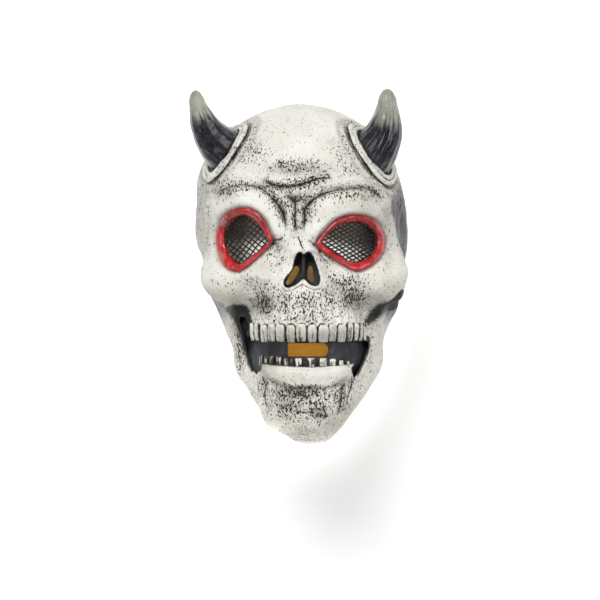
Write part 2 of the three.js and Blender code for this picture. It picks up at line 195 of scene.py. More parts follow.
# ------------------------------------------------------------------ lines and outlines on the face grid
def smooth_line(points, n=8, closed=False):
    """Catmull-Rom through the points."""
    p = np.asarray(points, float)
    m = len(p)
    out = []
    last = m if closed else m - 1
    for i in range(last):
        if closed:
            a, b, c, d = p[(i - 1) % m], p[i], p[(i + 1) % m], p[(i + 2) % m]
        else:
            a, b, c, d = p[max(i - 1, 0)], p[i], p[i + 1], p[min(i + 2, m - 1)]
        for t in np.arange(n) / n:
            out.append(0.5 * ((2 * b) + (-a + c) * t + (2 * a - 5 * b + 4 * c - d) * t * t + (-a + 3 * b - 3 * c + d) * t ** 3))
    if not closed:
        out.append(p[-1])
    return np.array(out)

def to_mm(p):
    p = np.asarray(p, float)
    return np.stack([(p[:, 0] - 303) * CELL, (250 - p[:, 1]) * CELL], 1)

def near_line(u, v, pts, closed=False):
    """(distance, place 0..1 along) from points to a polyline, both in grid units."""
    a = pts if closed else pts[:-1]
    b = np.roll(pts, -1, 0) if closed else pts[1:]
    best = np.full(u.shape, 1e9); along = np.zeros(u.shape)
    seg = np.linalg.norm(b - a, axis=1); run = np.concatenate([[0], np.cumsum(seg)]); total = run[-1]
    for k in range(len(a)):
        dx, dy = b[k] - a[k]
        L = dx * dx + dy * dy + 1e-12
        t = np.clip(((u - a[k, 0]) * dx + (v - a[k, 1]) * dy) / L, 0, 1)
        d = np.hypot(u - a[k, 0] - t * dx, v - a[k, 1] - t * dy)
        m = d < best
        best[m] = d[m]; along[m] = ((run[k] + t * seg[k]) / total)[m]
    return best, along

def beside_line(u, v, pts):
    """Like near_line, with the distance negative on one side of the line."""
    best = np.full(u.shape, 1e9); along = np.zeros(u.shape); side = np.ones(u.shape)
    seg = np.linalg.norm(np.diff(pts, axis=0), axis=1); run = np.concatenate([[0], np.cumsum(seg)])
    for k in range(len(pts) - 1):
        dx, dy = pts[k + 1] - pts[k]
        t = np.clip(((u - pts[k, 0]) * dx + (v - pts[k, 1]) * dy) / (dx * dx + dy * dy + 1e-12), 0, 1)
        d = np.hypot(u - pts[k, 0] - t * dx, v - pts[k, 1] - t * dy)
        m = d < best
        best[m] = d[m]; along[m] = ((run[k] + t * seg[k]) / run[-1])[m]
        side[m] = np.sign(dx * (v - pts[k, 1]) - dy * (u - pts[k, 0]))[m]
    return best * np.where(side < 0, -1.0, 1.0), along

def is_inside(u, v, poly):
    inside = np.zeros(u.shape, bool)
    x0, y0 = poly[-1]
    for x1, y1 in poly:
        c = ((y1 > v) != (y0 > v)) & (u < (x0 - x1) * (v - y1) / (y0 - y1 + 1e-12) + x1)
        inside ^= c
        x0, y0 = x1, y1
    return inside

def signed(u, v, poly):
    d, _ = near_line(u, v, poly, True)
    return np.where(is_inside(u, v, poly), -d, d)

def grown(poly, by):
    area = 0.5 * np.sum(poly[:, 0] * np.roll(poly[:, 1], -1) - np.roll(poly[:, 0], -1) * poly[:, 1])
    t = np.roll(poly, -1, 0) - np.roll(poly, 1, 0)
    t /= np.linalg.norm(t, axis=1)[:, None] + 1e-9
    n = np.stack([t[:, 1], -t[:, 0]], 1) * (1 if area > 0 else -1)
    return poly + n * by

EYE_IN = {
    "left": smooth_line([(225.5, 239), (226.8, 228.3), (234, 219.8), (244.6, 215.5), (253.5, 220), (261, 228), (266.8, 237), (268.9, 241.6), (265, 246), (256, 253), (240.8, 263.8), (230.2, 255.5)], 6, True),
    "right": smooth_line([(321.8, 242.8), (325.6, 236.4), (334, 228.3), (344.9, 223.3), (361, 222.9), (372.5, 230.5), (376.1, 243.3), (370, 256), (356.5, 262.3), (344.9, 259.5), (332, 251.2), (325, 246.2)], 6, True),
}
EYE_OUT = {
    "left": smooth_line([(216, 241), (219, 224), (229, 211.6), (244.6, 208), (256.6, 212), (265.4, 221.6), (270.8, 234), (273.6, 240.8), (269.4, 247.4), (259.6, 256.6), (239.5, 271.8), (223, 264)], 6, True),
    "right": smooth_line([(315.2, 245.8), (318.8, 238.2), (325.4, 230), (338, 219), (355, 214.8), (372.5, 219.4), (383.6, 232), (383.6, 251), (371.6, 265.6), (355.4, 271.6), (334.4, 260.4), (321.6, 251.6)], 6, True),
}
NOSE = smooth_line([(303.9, 255.6), (299.3, 253.2), (295.5, 259), (292.5, 270.5), (284.6, 280.6), (286.5, 286.9), (295, 284.6), (303.3, 278.6), (310.2, 283.9), (316.5, 285.2), (319.2, 280), (317, 269), (313, 258.5), (308.4, 252.9)], 5, True)
MOUTH_OUT = smooth_line([(239.5, 318.5), (244.5, 317.5), (248.8, 326), (250.2, 338), (301, 341.6), (330, 341.6), (362, 340.3), (368.5, 344.3), (365.7, 354), (360.5, 366.8), (354.1, 377.5), (351.4, 368.2),
                         (353, 363.1), (328, 365.2), (307.6, 366.4), (285, 365), (262.7, 361.4), (260.3, 364.8), (256.8, 374.2), (251.4, 366), (247.6, 354), (244.6, 341), (242, 330)], 4, True)

# creases: points, depth in mm, half width in grid units, roll raised beside it in mm, darkness along it (dark wash in
# the crease, partly painted shade)
CREASES = [
    ([(258, 176.6), (266.8, 183), (275, 186.2), (289.7, 187.2), (306.6, 183.7), (320, 178.9), (336, 178.2)], 3.2, 1.6, 1.2, (0.3, 0.8, 1.0, 0.9, 0.6)),
    ([(264, 170), (276, 172.5), (293.6, 172.6), (305, 169.2), (318, 165.6)], 2.0, 2.8, 1.0, (0.0, 0.15, 0.15, 0.0)),
    ([(268, 161), (282, 163.5), (297, 162.5), (310, 159.5)], 0.8, 2.6, 0.5, (0.0,)),
    ([(212.5, 202), (219, 193), (229, 188), (241.4, 185), (257.9, 187.4), (268, 194.5), (279.8, 207.4), (284.4, 219), (286, 234.5)], 3.8, 1.8, 1.4, (0.45, 0.5, 0.35, 0.25, 0.45, 0.9, 1.0, 0.9)),
    ([(304.3, 236), (304.6, 222), (304.6, 213), (310, 203.5), (318, 197.4), (334, 191.4), (351, 188.3), (363, 188.2), (376, 193.3), (386, 204.7)], 3.8, 1.8, 1.4, (0.9, 1.0, 0.8, 0.7, 0.35, 0.2, 0.35, 0.75, 0.5)),
    ([(292, 200), (295, 207), (295, 216), (296.4, 234)], 2.6, 1.4, 0.5, (0.4, 0.7, 0.6, 0.6)),
    ([(284.5, 192.5), (290, 198.5), (295.5, 202.5), (301.5, 199), (308.5, 192)], 2.0, 2.2, 0.4, (0.1, 0.6, 0.8, 0.5, 0.1)),
    ([(264, 181), (270, 190), (277, 199), (284, 209)], 1.4, 1.4, 0.6, (0.2, 0.3, 0.2)),
    ([(322, 187), (313, 191), (307, 197), (301, 206)], 1.2, 1.4, 0.5, (0.0, 0.3, 0.3)),
    ([(272, 243), (277, 247), (276, 256)], 0.9, 1.4, 0.3, (0.5, 0.3, 0.1)),
    ([(318, 247), (321, 256), (329, 264)], 1.0, 1.4, 0.3, (0.5, 0.4, 0.2)),
    ([(281, 262), (277, 272), (270, 280), (258, 284)], 1.0, 2.2, 0.4, (0.0,)),
    ([(322, 262), (327, 274), (336, 283), (350, 287)], 1.0, 2.2, 0.4, (0.0,)),
    ([(268, 190.5), (276, 194.5), (283, 202)], 1.1, 1.6, 0.2, (0.3,)),
    ([(297.6, 236), (300.5, 243), (303.5, 251.5)], 0.9, 0.9, 0.1, (0.7, 0.9, 0.6)),
    ([(273.6, 240.5), (279, 240.5), (284, 238)], 1.4, 1.3, 0.3, (0.9, 0.6, 0.2)),
    ([(315, 246.5), (311.5, 242), (308, 239)], 1.2, 1.2, 0.3, (0.9, 0.5, 0.2)),
    ([(263.5, 371), (271, 379.5), (284, 385.8), (306.5, 387.8), (331, 386.4), (343, 381), (348, 373)], 2.6, 1.6, 0.0, (0.2, 0.1, 0.1, 0.1, 0.1)),
    ([(262.5, 374), (265.5, 384), (265, 396), (268, 409)], 2.6, 1.5, 1.2, (0.6, 0.5, 0.5, 0.2)),
    ([(257.5, 378), (259, 390), (258.5, 402)], 1.2, 1.4, 0.7, (0.2, 0.4, 0.1)),
    ([(345, 381), (341.5, 391), (340, 403), (337, 416)], 2.6, 1.5, 1.2, (0.5, 0.6, 0.5, 0.1)),
    ([(337.5, 388), (334.5, 397), (333.5, 406)], 1.2, 1.2, 0.5, (0.3, 0.5, 0.1)),
    ([(350.5, 374), (351.5, 384), (347.5, 396), (346, 408)], 1.9, 1.4, 0.9, (0.5, 0.6, 0.3, 0.1)),
    ([(278, 392), (276.5, 400), (278.5, 410)], 0.8, 1.6, 0.4, (0.2,)),
    ([(322, 405), (325, 413), (322, 421)], 1.0, 1.5, 0.5, (0.4, 0.5, 0.2)),
    ([(246, 322), (243, 333), (246, 350)], 0.8, 2.0, 0.2, (0.0,)),
    ([(224, 332), (230, 346), (238, 362), (243, 380)], 0.9, 2.6, 0.4, (0.0,)),
    ([(384, 330), (376, 350), (368, 372), (358, 390)], 0.9, 2.6, 0.4, (0.0,)),
    ([(233, 199), (243, 196.5), (254, 199)], 0.5, 1.6, 0.2, (0.0,)),
    ([(336, 203), (347, 199.5), (360, 201)], 0.5, 1.6, 0.2, (0.0,)),
    ([(378, 203), (384, 214), (388, 228)], 1.0, 2.0, 0.3, (0.1,)),
    ([(381, 262), (388, 256), (393, 247)], 0.7, 1.8, 0.2, (0.0,)),
    ([(286, 425), (298, 430), (313, 431), (324, 427)], 0.9, 1.8, 0.3, (0.1,)),
    ([(279, 283.5), (284, 289.5), (291, 291), (299, 286.5), (303, 284.5), (308, 287.5), (315, 290.5), (321, 288.5), (324, 283)], 0.8, 0.9, 0.3, (0.1, 0.35, 0.2, 0.3, 0.6, 0.3, 0.2, 0.35, 0.1)),
    ([(207, 186), (209, 205), (209.5, 225), (207, 243), (204.5, 257)], 1.7, 1.4, 0.7, (0.0, 0.12, 0.12, 0.16, 0.2)),
    ([(299, 439), (308, 437.5), (317, 438.5)], 0.9, 1.2, 0.2, (0.0,)),
]
# flat raised parts: outline, height in mm, softness of the edge in grid units
PLATES = [
    (smooth_line([(289, 241), (296, 235), (304, 233.5), (311, 237), (317, 243), (314, 254), (309, 253.5), (303.9, 254.5), (299, 253.5), (292.5, 257)], 4, True), 1.5, 1.8),
    (smooth_line([(262, 362), (284, 368), (307, 369.5), (330, 368), (353, 364), (349, 374), (343, 380.5), (331, 385), (306.5, 386.5), (284, 384.5), (271, 377.5)], 4, True), 1.3, 1.6),
]
# places painted black, in the hollows under the cheekbones partly as painted shade: outline, softness in grid units,
# amount, how far back it reaches
BLACKED_AND_SHADED = [
    (smooth_line([(385, 304), (393, 299), (402, 289.5), (404, 297), (400, 305), (393, 310.5), (386.5, 309)], 4, True), 1.4, 1.25, -6),
    (smooth_line([(226, 308.6), (234, 305), (246, 306), (250, 315), (253, 328), (251, 341), (246, 346), (240, 334), (236, 324), (230, 315)], 4, True), 3.8, 1.10, 14),
    (smooth_line([(229, 311), (240, 311), (246, 330), (247, 352), (242, 350), (234, 328)], 4, True), 8.0, 0.50, 14),
    (smooth_line([(367, 322), (370, 313), (376, 306.5), (384, 303.5), (388, 306.5), (382, 314), (374, 321)], 4, True), 6.4, 1.10, 6),
    (smooth_line([(243, 322), (251, 322), (252, 372), (248, 356), (244.5, 340)], 4, True), 2.4, 0.9, 14),
    (smooth_line([(366, 336), (370, 338), (369.5, 350), (363, 366), (357, 377), (360, 360), (366, 347)], 4, True), 1.6, 0.75, 14),
]
# shallow hollows (+) and swellings (-): u, v, half widths, depth in mm
HOLLOWS = [
    (263, 306, 12, 11, 2.6), (352, 301, 15, 11, 2.8), (295, 199.5, 6.5, 4, 1.3),
    (283, 262, 8, 12, 1.4), (325, 268, 8, 12, 1.4), (270, 292, 12, 8, 0.8), (337, 290, 14, 8, 0.8),
    (296, 179, 26, 4.5, -2.4), (246, 198, 22, 9, -2.6), (346, 203, 27, 10, -2.6), (290, 216, 4, 12, -1.6), (300, 216, 3.6, 12, -1.6), (229, 205, 8, 9, -0.8),
    (303, 245, 9, 6, -1.4), (296, 252, 5, 10, -1.2), (311, 252, 5, 10, -1.2), (250, 330, 4, 12, 0.8), (300, 297, 8, 7, -1.2), (233, 352, 7, 26, -1.4), (379, 345, 7, 24, -1.4), (243, 310, 9, 6, 1.0), (371, 309, 9, 6, 1.0),
    (305, 404, 20, 7, 1.2), (318, 415, 6, 5, 1.0), (279, 160, 9, 6, -0.5), (322, 160, 10, 7, -0.5),
    (296, 245, 7, 7, -1.2), (258, 279, 12, 6, -0.6), (226, 285, 12, 9, -0.8), (393, 278, 10, 9, -0.8),
]
HORNS = {
    "left": dict(line=[(-50, 76, 22), (-68.5, 89, 35), (-77, 96, 42), (-84.3, 106, 48), (-89.3, 117, 53), (-93, 128.5, 56), (-95.2, 140.6, 58)],
                 radii=[22, 21.2, 17.8, 14.2, 10.9, 7.4, 0], foot=(-64, 84, 32), out=(-0.81, 0.53, 0.27), r=22.3),
    "right": dict(line=[(46, 70, 28), (60.5, 84.5, 44), (66.5, 93.5, 52), (71.3, 104, 58), (73.4, 116, 63), (74, 129.5, 66.5), (74, 141.6, 68)],
                  radii=[24, 22, 19.6, 16.6, 12.6, 8.2, 0], foot=(59, 82, 41), out=(0.595, 0.716, 0.37), r=22.8),
}

def about_horn(p, h):
    """Distance from the axis of a horn's foot, and height along it, for points (N, 3)."""
    o = np.asarray(h["out"], float); o = o / np.linalg.norm(o)
    q = p - np.asarray(h["foot"], float)
    a = q @ o
    return np.linalg.norm(q - a[:, None] * o, axis=1), a

def relief(p, nrm):
    """Fine sculpting, in mm along the surface normal, for points (N, 3) on the plain head."""
    x, y, z = p.T
    u, v = x / CELL + 303, 250 - y / CELL
    fr = ease((z - 5) / 30) * ease((nrm[:, 2] + 0.05) / 0.35)
    r = np.zeros(len(p))
    wob = lattice_noise(p, 7.0, 3) - 0.5
    uw, vw = u + 1.6 * wob, v + 1.6 * (lattice_noise(p, 6.0, 4) - 0.5)
    for pts, depth, w, roll, _ in CREASES:
        line = smooth_line(pts, 5)
        lo, hi = line.min(0) - 12, line.max(0) + 12
        k = np.nonzero((u > lo[0]) & (u < hi[0]) & (v > lo[1]) & (v < hi[1]) & (fr > 0))[0]
        d, t = near_line(uw[k], vw[k], line)
        fade = ease(t / 0.16) * ease((1 - t) / 0.16)
        w = 0.82 * w
        r[k] += fr[k] * fade * (-0.85 * depth * np.exp(-0.5 * (d / w) ** 2) + roll * np.exp(-0.5 * ((d - 2.6 * w) / (1.3 * w)) ** 2))
    for poly, high, soft in PLATES:
        k = np.nonzero((np.abs(u - poly[:, 0].mean()) < 60) & (np.abs(v - poly[:, 1].mean()) < 30) & (fr > 0))[0]
        r[k] += fr[k] * high * ease(0.5 - signed(u[k], v[k], poly) / soft)
    for a, b, ra, rb, depth in HOLLOWS:
        r -= fr * depth * np.exp(-0.5 * (((u - a) / ra) ** 2 + ((v - b) / rb) ** 2))
    # roots over the upper teeth
    band = np.exp(-0.5 * ((v - 318) / 7) ** 2) * ease((u - 246) / 8) * ease((368 - u) / 8)
    q = np.clip((u - 306.6) / 54.0, -0.98, 0.98)
    k = (np.arcsin(q * math.sin(1.28)) / 1.28 + 1) / 2 * 14
    r += fr * band * 1.1 * np.cos(2 * np.pi * (k - 0.5))
    tall = np.exp(-0.5 * ((v - 304) / 11) ** 2) * ease((u - 246) / 10) * ease((368 - u) / 10)
    r += fr * tall * 1.3 * (lattice_noise(p * np.array([1, 0.28, 1]), 4.2, 14) - 0.5)
    # pitted bone round the nose and on the chin
    pit = np.maximum(np.exp(-0.5 * (((u - 306) / 44) ** 2 + ((v - 300) / 17) ** 2)), np.exp(-0.5 * (((u - 303) / 27) ** 2 + ((v - 404) / 20) ** 2)))
    r -= fr * pit * 1.3 * ease((lattice_noise(p, 2.9, 17) - 0.55) / 0.25)
    # rim of the nose opening, and the ends of the nasal bones above it
    d = signed(u, v, NOSE)
    r += fr * np.where(d > -1, 1.7 * np.exp(-0.5 * ((d - 2.0) / 1.7) ** 2), 0) * (1 + 0.6 * ease((262 - v) / 8))
    r += fr * 1.8 * np.exp(-0.5 * (((u - 303) / 6.5) ** 2 + ((v - 247) / 5) ** 2))
    # rolled rims of the eye holes
    for side in ("left", "right"):
        ci = EYE_OUT[side].mean(0)
        k = np.nonzero((np.abs(u - ci[0]) < 52) & (np.abs(v - ci[1]) < 50) & (z > 20))[0]
        s = signed(u[k], v[k], EYE_OUT[side])
        r[k] += fr[k] * np.where(s > -1.5, 1.0, ease((s + 5) / 3.5)) * (1.1 * np.exp(-0.5 * ((s - 5) / 2.6) ** 2) - 1.3 * np.exp(-0.5 * ((s - 0.6) / 1.2) ** 2))
        r[k] -= fr[k] * 1.0 * ease((0.5 - s) / 2)
    # double collars round the horns
    for h in HORNS.values():
        rho, a = about_horn(p, h)
        on = (a > -26) & (a < 26) & (rho < h["r"] + 16)
        rw = rho + 0.9 * (lattice_noise(p, 9.0, 11) - 0.5)
        r -= on * 1.5 * np.exp(-0.5 * ((rw - h["r"] - 10.0) / 1.4) ** 2)
        r += on * 1.3 * np.exp(-0.5 * ((rw - h["r"] - 13.8) / 2.6) ** 2)
        r -= on * 0.9 * np.exp(-0.5 * ((rw - h["r"] - 18.0) / 1.8) ** 2)
    # striations in the temple hollows
    side = np.exp(-0.5 * (((np.abs(x) - 88) / 9) ** 2 + ((y - 22) / 34) ** 2 + ((z - 18) / 26) ** 2))
    r += side * 0.8 * np.sin(z * 1.15 + 3 * lattice_noise(p * np.array([1, 0.25, 1]), 9.0, 15))
    # hand-modelled unevenness
    r += (lattice_noise(p, 22.0, 5) - 0.5) * 1.3 + (lattice_noise(p, 9.0, 6) - 0.5) * 0.7 + (lattice_noise(p, 4.2, 7) - 0.5) * 0.35 * (0.5 + fr)
    return r

# ------------------------------------------------------------------ meshes
def polygons(name, verts, faces, materials=(), index=0, smooth=True):
    """A new object from points in mm and faces; every face gets one of the listed materials."""
    me = bpy.data.meshes.new(name)
    me.from_pydata(((np.asarray(verts, float) + SHIFT) / 1000).tolist(), [], faces)
    for m in materials:
        me.materials.append(m)
    me.polygons.foreach_set("material_index", np.full(len(me.polygons), index, dtype=np.int32))
    me.polygons.foreach_set("use_smooth", np.full(len(me.polygons), smooth))
    me.update()
    o = bpy.data.objects.new(name, me)
    bpy.context.scene.collection.objects.link(o)
    return o

def globe(points, top, bottom):
    """Vertices and outward faces of a closed form: rows x columns of points between two poles, columns
    running from -X past +Z (seen from +Y, the other way round is inside out)."""
    rows, cols = points.shape[:2]
    v = np.concatenate([points.reshape(-1, 3), [top], [bottom]])
    t, b = len(v) - 2, len(v) - 1
    i = np.arange(cols); j = (i + 1) % cols
    f = [(t, int(a), int(c)) for a, c in zip(i, j)]
    for r in range(rows - 1):
        o = r * cols
        f += [(int(o + a), int(o + cols + a), int(o + cols + c), int(o + c)) for a, c in zip(i, j)]
    o = (rows - 1) * cols
    f += [(b, int(o + c), int(o + a)) for a, c in zip(i, j)]
    return v, f

def tube(path, radius, around=8, closed=False, squash=None, up=(0, 0, 1)):
    """Vertices and faces of a closed tube along a path; radius may vary along it."""
    p = np.asarray(path, float); n = len(p)
    rad = np.broadcast_to(radius, (n,))
    t = (np.roll(p, -1, 0) - np.roll(p, 1, 0)) if closed else np.gradient(p, axis=0)
    t /= np.linalg.norm(t, axis=1)[:, None] + 1e-12
    side = np.cross(np.broadcast_to(up, t.shape), t); side /= np.linalg.norm(side, axis=1)[:, None] + 1e-12
    top = np.cross(t, side)
    a = np.arange(around) / around * 2 * np.pi
    sq = (1.0, 1.0) if squash is None else squash
    v = (p[:, None] + rad[:, None, None] * (np.cos(a)[None, :, None] * side[:, None] * sq[0] + np.sin(a)[None, :, None] * top[:, None] * sq[1])).reshape(-1, 3)
    f = []
    for r in range(n if closed else n - 1):
        o, q = r * around, ((r + 1) % n) * around
        f += [(o + k, o + (k + 1) % around, q + (k + 1) % around, q + k) for k in range(around)]
    if not closed:
        f.append(tuple(range(around - 1, -1, -1)))
        f.append(tuple((n - 1) * around + k for k in range(around)))
    return v, f

def gather(parts):
    v, f, n = [], [], 0
    for a, b in parts:
        v.append(a); f += [tuple(int(k) + n for k in face) for face in b]; n += len(a)
    return np.concatenate(v), f

def prism(poly, z0, z1):
    """Column over a closed outline in mm, between two heights."""
    p = np.asarray(poly, float)
    if 0.5 * np.sum(p[:, 0] * np.roll(p[:, 1], -1) - np.roll(p[:, 0], -1) * p[:, 1]) < 0:
        p = p[::-1]
    n = len(p)
    v = np.concatenate([np.c_[p, np.full(n, z0)], np.c_[p, np.full(n, z1)]])
    f = [tuple(range(n - 1, -1, -1)), tuple(range(n, 2 * n))] + [(k, (k + 1) % n, n + (k + 1) % n, n + k) for k in range(n)]
    return v, f

def lathe_wall(profile, a, b, axes):
    """A closed outline in a plane, drawn out from a to b along the third axis; axes says which is which."""
    p = np.asarray(profile, float)
    n = len(p)
    def put(w):
        q = np.zeros((n, 3)); q[:, axes[0]] = p[:, 0]; q[:, axes[1]] = p[:, 1]; q[:, axes[2]] = w
        return q
    v = np.concatenate([put(a), put(b)])
    f = [tuple(range(n - 1, -1, -1)), tuple(range(n, 2 * n))] + [(k, (k + 1) % n, n + (k + 1) % n, n + k) for k in range(n)]
    return v, f

def tidy(o):
    """Triangulated caps, outward normals."""
    bm = bmesh.new(); bm.from_mesh(o.data)
    bmesh.ops.triangulate(bm, faces=[f for f in bm.faces if len(f.verts) > 4])
    bmesh.ops.recalc_face_normals(bm, faces=bm.faces)
    if bm.calc_volume(signed=True) < 0:
        bmesh.ops.reverse_faces(bm, faces=bm.faces)
    bm.to_mesh(o.data); bm.free()
    return o

def combine(target, tool, how):
    """Applies one Boolean and removes the tool object."""
    m = target.modifiers.new("b", "BOOLEAN")
    m.operation, m.solver, m.object = how, "MANIFOLD", tool
    dg = bpy.context.evaluated_depsgraph_get()
    me = bpy.data.meshes.new_from_object(target.evaluated_get(dg), depsgraph=dg)
    target.modifiers.clear()
    old = target.data
    if not len(me.polygons):
        raise RuntimeError(f"{how} with {tool.name} left nothing")
    target.data = me
    bpy.data.meshes.remove(old)
    bpy.data.objects.remove(tool)
    return target

# ------------------------------------------------------------------ node helpers
class Net:
    """Short spelling for shader nodes."""
    def __init__(self, name):
        self.m = bpy.data.materials.new(name); self.m.use_nodes = True
        self.t = self.m.node_tree; self.t.nodes.clear()
        self.out = self.t.nodes.new("ShaderNodeOutputMaterial")
        self.b = self.t.nodes.new("ShaderNodeBsdfPrincipled")
        self.t.links.new(self.b.outputs[0], self.out.inputs[0])
        self.pos = self.t.nodes.new("ShaderNodeTexCoord").outputs["Object"]
    def put(self, socket, value):
        if isinstance(value, bpy.types.NodeSocket):
            self.t.links.new(value, socket)
        elif hasattr(socket.default_value, "__len__"):
            socket.default_value = tuple(value) + ((1.0,) if len(socket.default_value) == 4 and len(value) == 3 else ())
        else:
            socket.default_value = value
    def attr(self, name):
        n = self.t.nodes.new("ShaderNodeAttribute"); n.attribute_name = name
        return n.outputs["Fac"]
    def math(self, op, a, b=0.0, c=0.0, clamp=False):
        n = self.t.nodes.new("ShaderNodeMath"); n.operation = op; n.use_clamp = clamp
        for s, v in zip(n.inputs, (a, b, c)):
            self.put(s, v)
        return n.outputs[0]
    def remap(self, v, a, b, c=0.0, d=1.0, smooth=True):
        n = self.t.nodes.new("ShaderNodeMapRange"); n.interpolation_type = "SMOOTHSTEP" if smooth else "LINEAR"
        for s, x in zip(n.inputs, (v, a, b, c, d)):
            self.put(s, x)
        return n.outputs[0]
    def mix(self, f, a, b):
        n = self.t.nodes.new("ShaderNodeMix"); n.data_type = "RGBA"; n.clamp_factor = True
        self.put(n.inputs[0], f); self.put(n.inputs[6], a); self.put(n.inputs[7], b)
        return n.outputs[2]
    def scaled(self, sx, sy, sz):
        n = self.t.nodes.new("ShaderNodeVectorMath"); n.operation = "MULTIPLY"
        self.put(n.inputs[0], self.pos); n.inputs[1].default_value = (sx, sy, sz)
        return n.outputs[0]
    def noise(self, scale, detail=2.0, rough=0.5, vector=None, distortion=0.0):
        n = self.t.nodes.new("ShaderNodeTexNoise")
        self.put(n.inputs["Vector"], self.pos if vector is None else vector)
        n.inputs["Scale"].default_value = scale; n.inputs["Detail"].default_value = detail
        n.inputs["Roughness"].default_value = rough; n.inputs["Distortion"].default_value = distortion
        return n.outputs["Fac"]
    def cells(self, scale, feature="F1", vector=None, randomness=1.0):
        n = self.t.nodes.new("ShaderNodeTexVoronoi"); n.feature = feature
        self.put(n.inputs["Vector"], self.pos if vector is None else vector)
        n.inputs["Scale"].default_value = scale; n.inputs["Randomness"].default_value = randomness
        return n
    def bump(self, height, distance, strength=1.0, normal=None):
        n = self.t.nodes.new("ShaderNodeBump")
        n.inputs["Strength"].default_value = strength; n.inputs["Distance"].default_value = distance
        self.put(n.inputs["Height"], height)
        if normal is not None:
            self.put(n.inputs["Normal"], normal)
        return n.outputs[0]
    def set(self, **values):
        names = dict(color="Base Color", rough="Roughness", normal="Normal", coat="Coat Weight", coat_rough="Coat Roughness",
                     spec="Specular IOR Level", sheen="Sheen Weight", emit="Emission Color", emit_strength="Emission Strength",
                     sub="Subsurface Weight", ior="IOR")
        for k, v in values.items():
            self.put(self.b.inputs[names[k]], v)
        return self.m

def bone_material():
    n = Net("aged_bone_latex")
    wash, speck, black, grey, warm = (n.attr(a) for a in ("wash", "speck", "black", "grey", "warm"))
    broad = n.noise(26, 3, 0.55)
    base = n.mix(n.remap(broad, 0.38, 0.66), (0.83, 0.815, 0.74), (0.90, 0.89, 0.835))
    base = n.mix(n.math("MULTIPLY", warm, n.remap(n.noise(60, 3), 0.3, 0.7, 0.35, 1.0)), base, (0.60, 0.54, 0.39))
    # grey glaze lying in the hollows, partly painted shade there, broken up by fine noise; where it is heaviest it
    # turns near-black as painted shade
    fine = n.noise(330, 4, 0.62)
    glaze = n.math("MULTIPLY", wash, n.remap(fine, 0.30, 0.72, 0.55, 1.25), clamp=True)
    brown = n.mix(n.noise(85, 2), (0.27, 0.245, 0.215), (0.20, 0.165, 0.125))
    base = n.mix(glaze, base, brown)
    base = n.mix(n.math("MULTIPLY", n.remap(wash, 0.72, 1.25), 0.85), base, (0.045, 0.043, 0.043))
    # speckle: worm-like marks where it is dense, single pits where it is thin
    patch = n.noise(150, 3, 0.6)
    dense = n.math("MULTIPLY", speck, n.remap(patch, 0.28, 0.66, 0.80, 1.18))
    worm = n.noise(740, 1.5, 0.5, vector=n.scaled(1.0, 0.48, 1.0), distortion=0.3)
    cut = n.math("SUBTRACT", 0.730, n.math("MULTIPLY", dense, 0.222))
    marks = n.remap(n.math("SUBTRACT", worm, cut), -0.010, 0.010)
    v = n.cells(400)
    pick = n.t.nodes.new("ShaderNodeSeparateColor"); n.put(pick.inputs[0], v.outputs["Color"])
    chosen = n.math("LESS_THAN", pick.outputs[0], n.math("MULTIPLY", n.math("SUBTRACT", dense, 0.04), 0.62))
    size = n.math("MULTIPLY_ADD", pick.outputs[1], 0.15, 0.13)
    pit = n.math("MULTIPLY", chosen, n.remap(n.math("SUBTRACT", size, v.outputs["Distance"]), -0.05, 0.08))
    marks = n.math("MAXIMUM", marks, pit)
    # haze of the finest grain
    grain = n.remap(n.math("SUBTRACT", n.noise(1150, 1.0, 0.5), n.math("SUBTRACT", 0.70, n.math("MULTIPLY", n.math("ADD", dense, wash), 0.15))), -0.02, 0.03)
    base = n.mix(n.math("MULTIPLY", grain, 0.40), base, (0.20, 0.175, 0.15))
    ink = n.mix(n.noise(220, 2), (0.007, 0.006, 0.006), (0.045, 0.034, 0.027))
    base = n.mix(n.math("MULTIPLY", marks, 0.98), base, ink)
    # ink run into the bottom of the creases: the mask's dark wash, partly painted shade
    dark = n.attr("seam_dark")
    away = n.math("ADD", n.math("ABSOLUTE", n.attr("seam")), n.math("MULTIPLY_ADD", n.noise(620, 3, 0.6), 2.6, -1.3))
    line = n.remap(n.math("SUBTRACT", n.math("MULTIPLY_ADD", dark, 0.75, 0.10), away), -0.35, 0.30)
    base = n.mix(n.math("MULTIPLY", line, n.remap(dark, 0.06, 0.34, 0.0, 0.97)), base, (0.014, 0.013, 0.013))
    # thin streaks of glaze running front to back in the temple hollows; the same grey also lays painted shade under the
    # cheekbones
    lines = n.noise(1.0, 3, 0.6, vector=n.scaled(330, 42, 330))
    base = n.mix(n.math("MULTIPLY", grey, n.remap(lines, 0.30, 0.66, 0.70, 1.0)), base, (0.062, 0.063, 0.070))
    # black paint in the mouth and nose, and black laid as painted shade in the hollows under the cheekbones, beside the
    # mouth and under the rims and collars
    edge = n.math("ADD", black, n.math("MULTIPLY", n.math("MULTIPLY_ADD", n.noise(520, 4, 0.65), 1.0, -0.5), n.remap(black, 0.0, 0.3)))
    black_and_shade = n.mix(n.remap(n.noise(75, 3), 0.35, 0.7), (0.005, 0.005, 0.006), (0.018, 0.018, 0.021))
    bare = n.math("SUBTRACT", 1.0, n.remap(edge, 0.08, 0.92))
    base = n.mix(n.math("SUBTRACT", 1.0, n.math("POWER", bare, 2.0)), base, black_and_shade)
    height = n.math("SUBTRACT", n.math("MULTIPLY_ADD", fine, 0.35, n.math("MULTIPLY", n.noise(900, 2), 0.15)), n.math("MULTIPLY", marks, 0.8))
    rough = n.remap(n.noise(140, 3), 0.3, 0.7, 0.48, 0.66)
    return n.set(color=base, rough=rough, normal=n.bump(height, 0.0012, 0.9), spec=0.38)

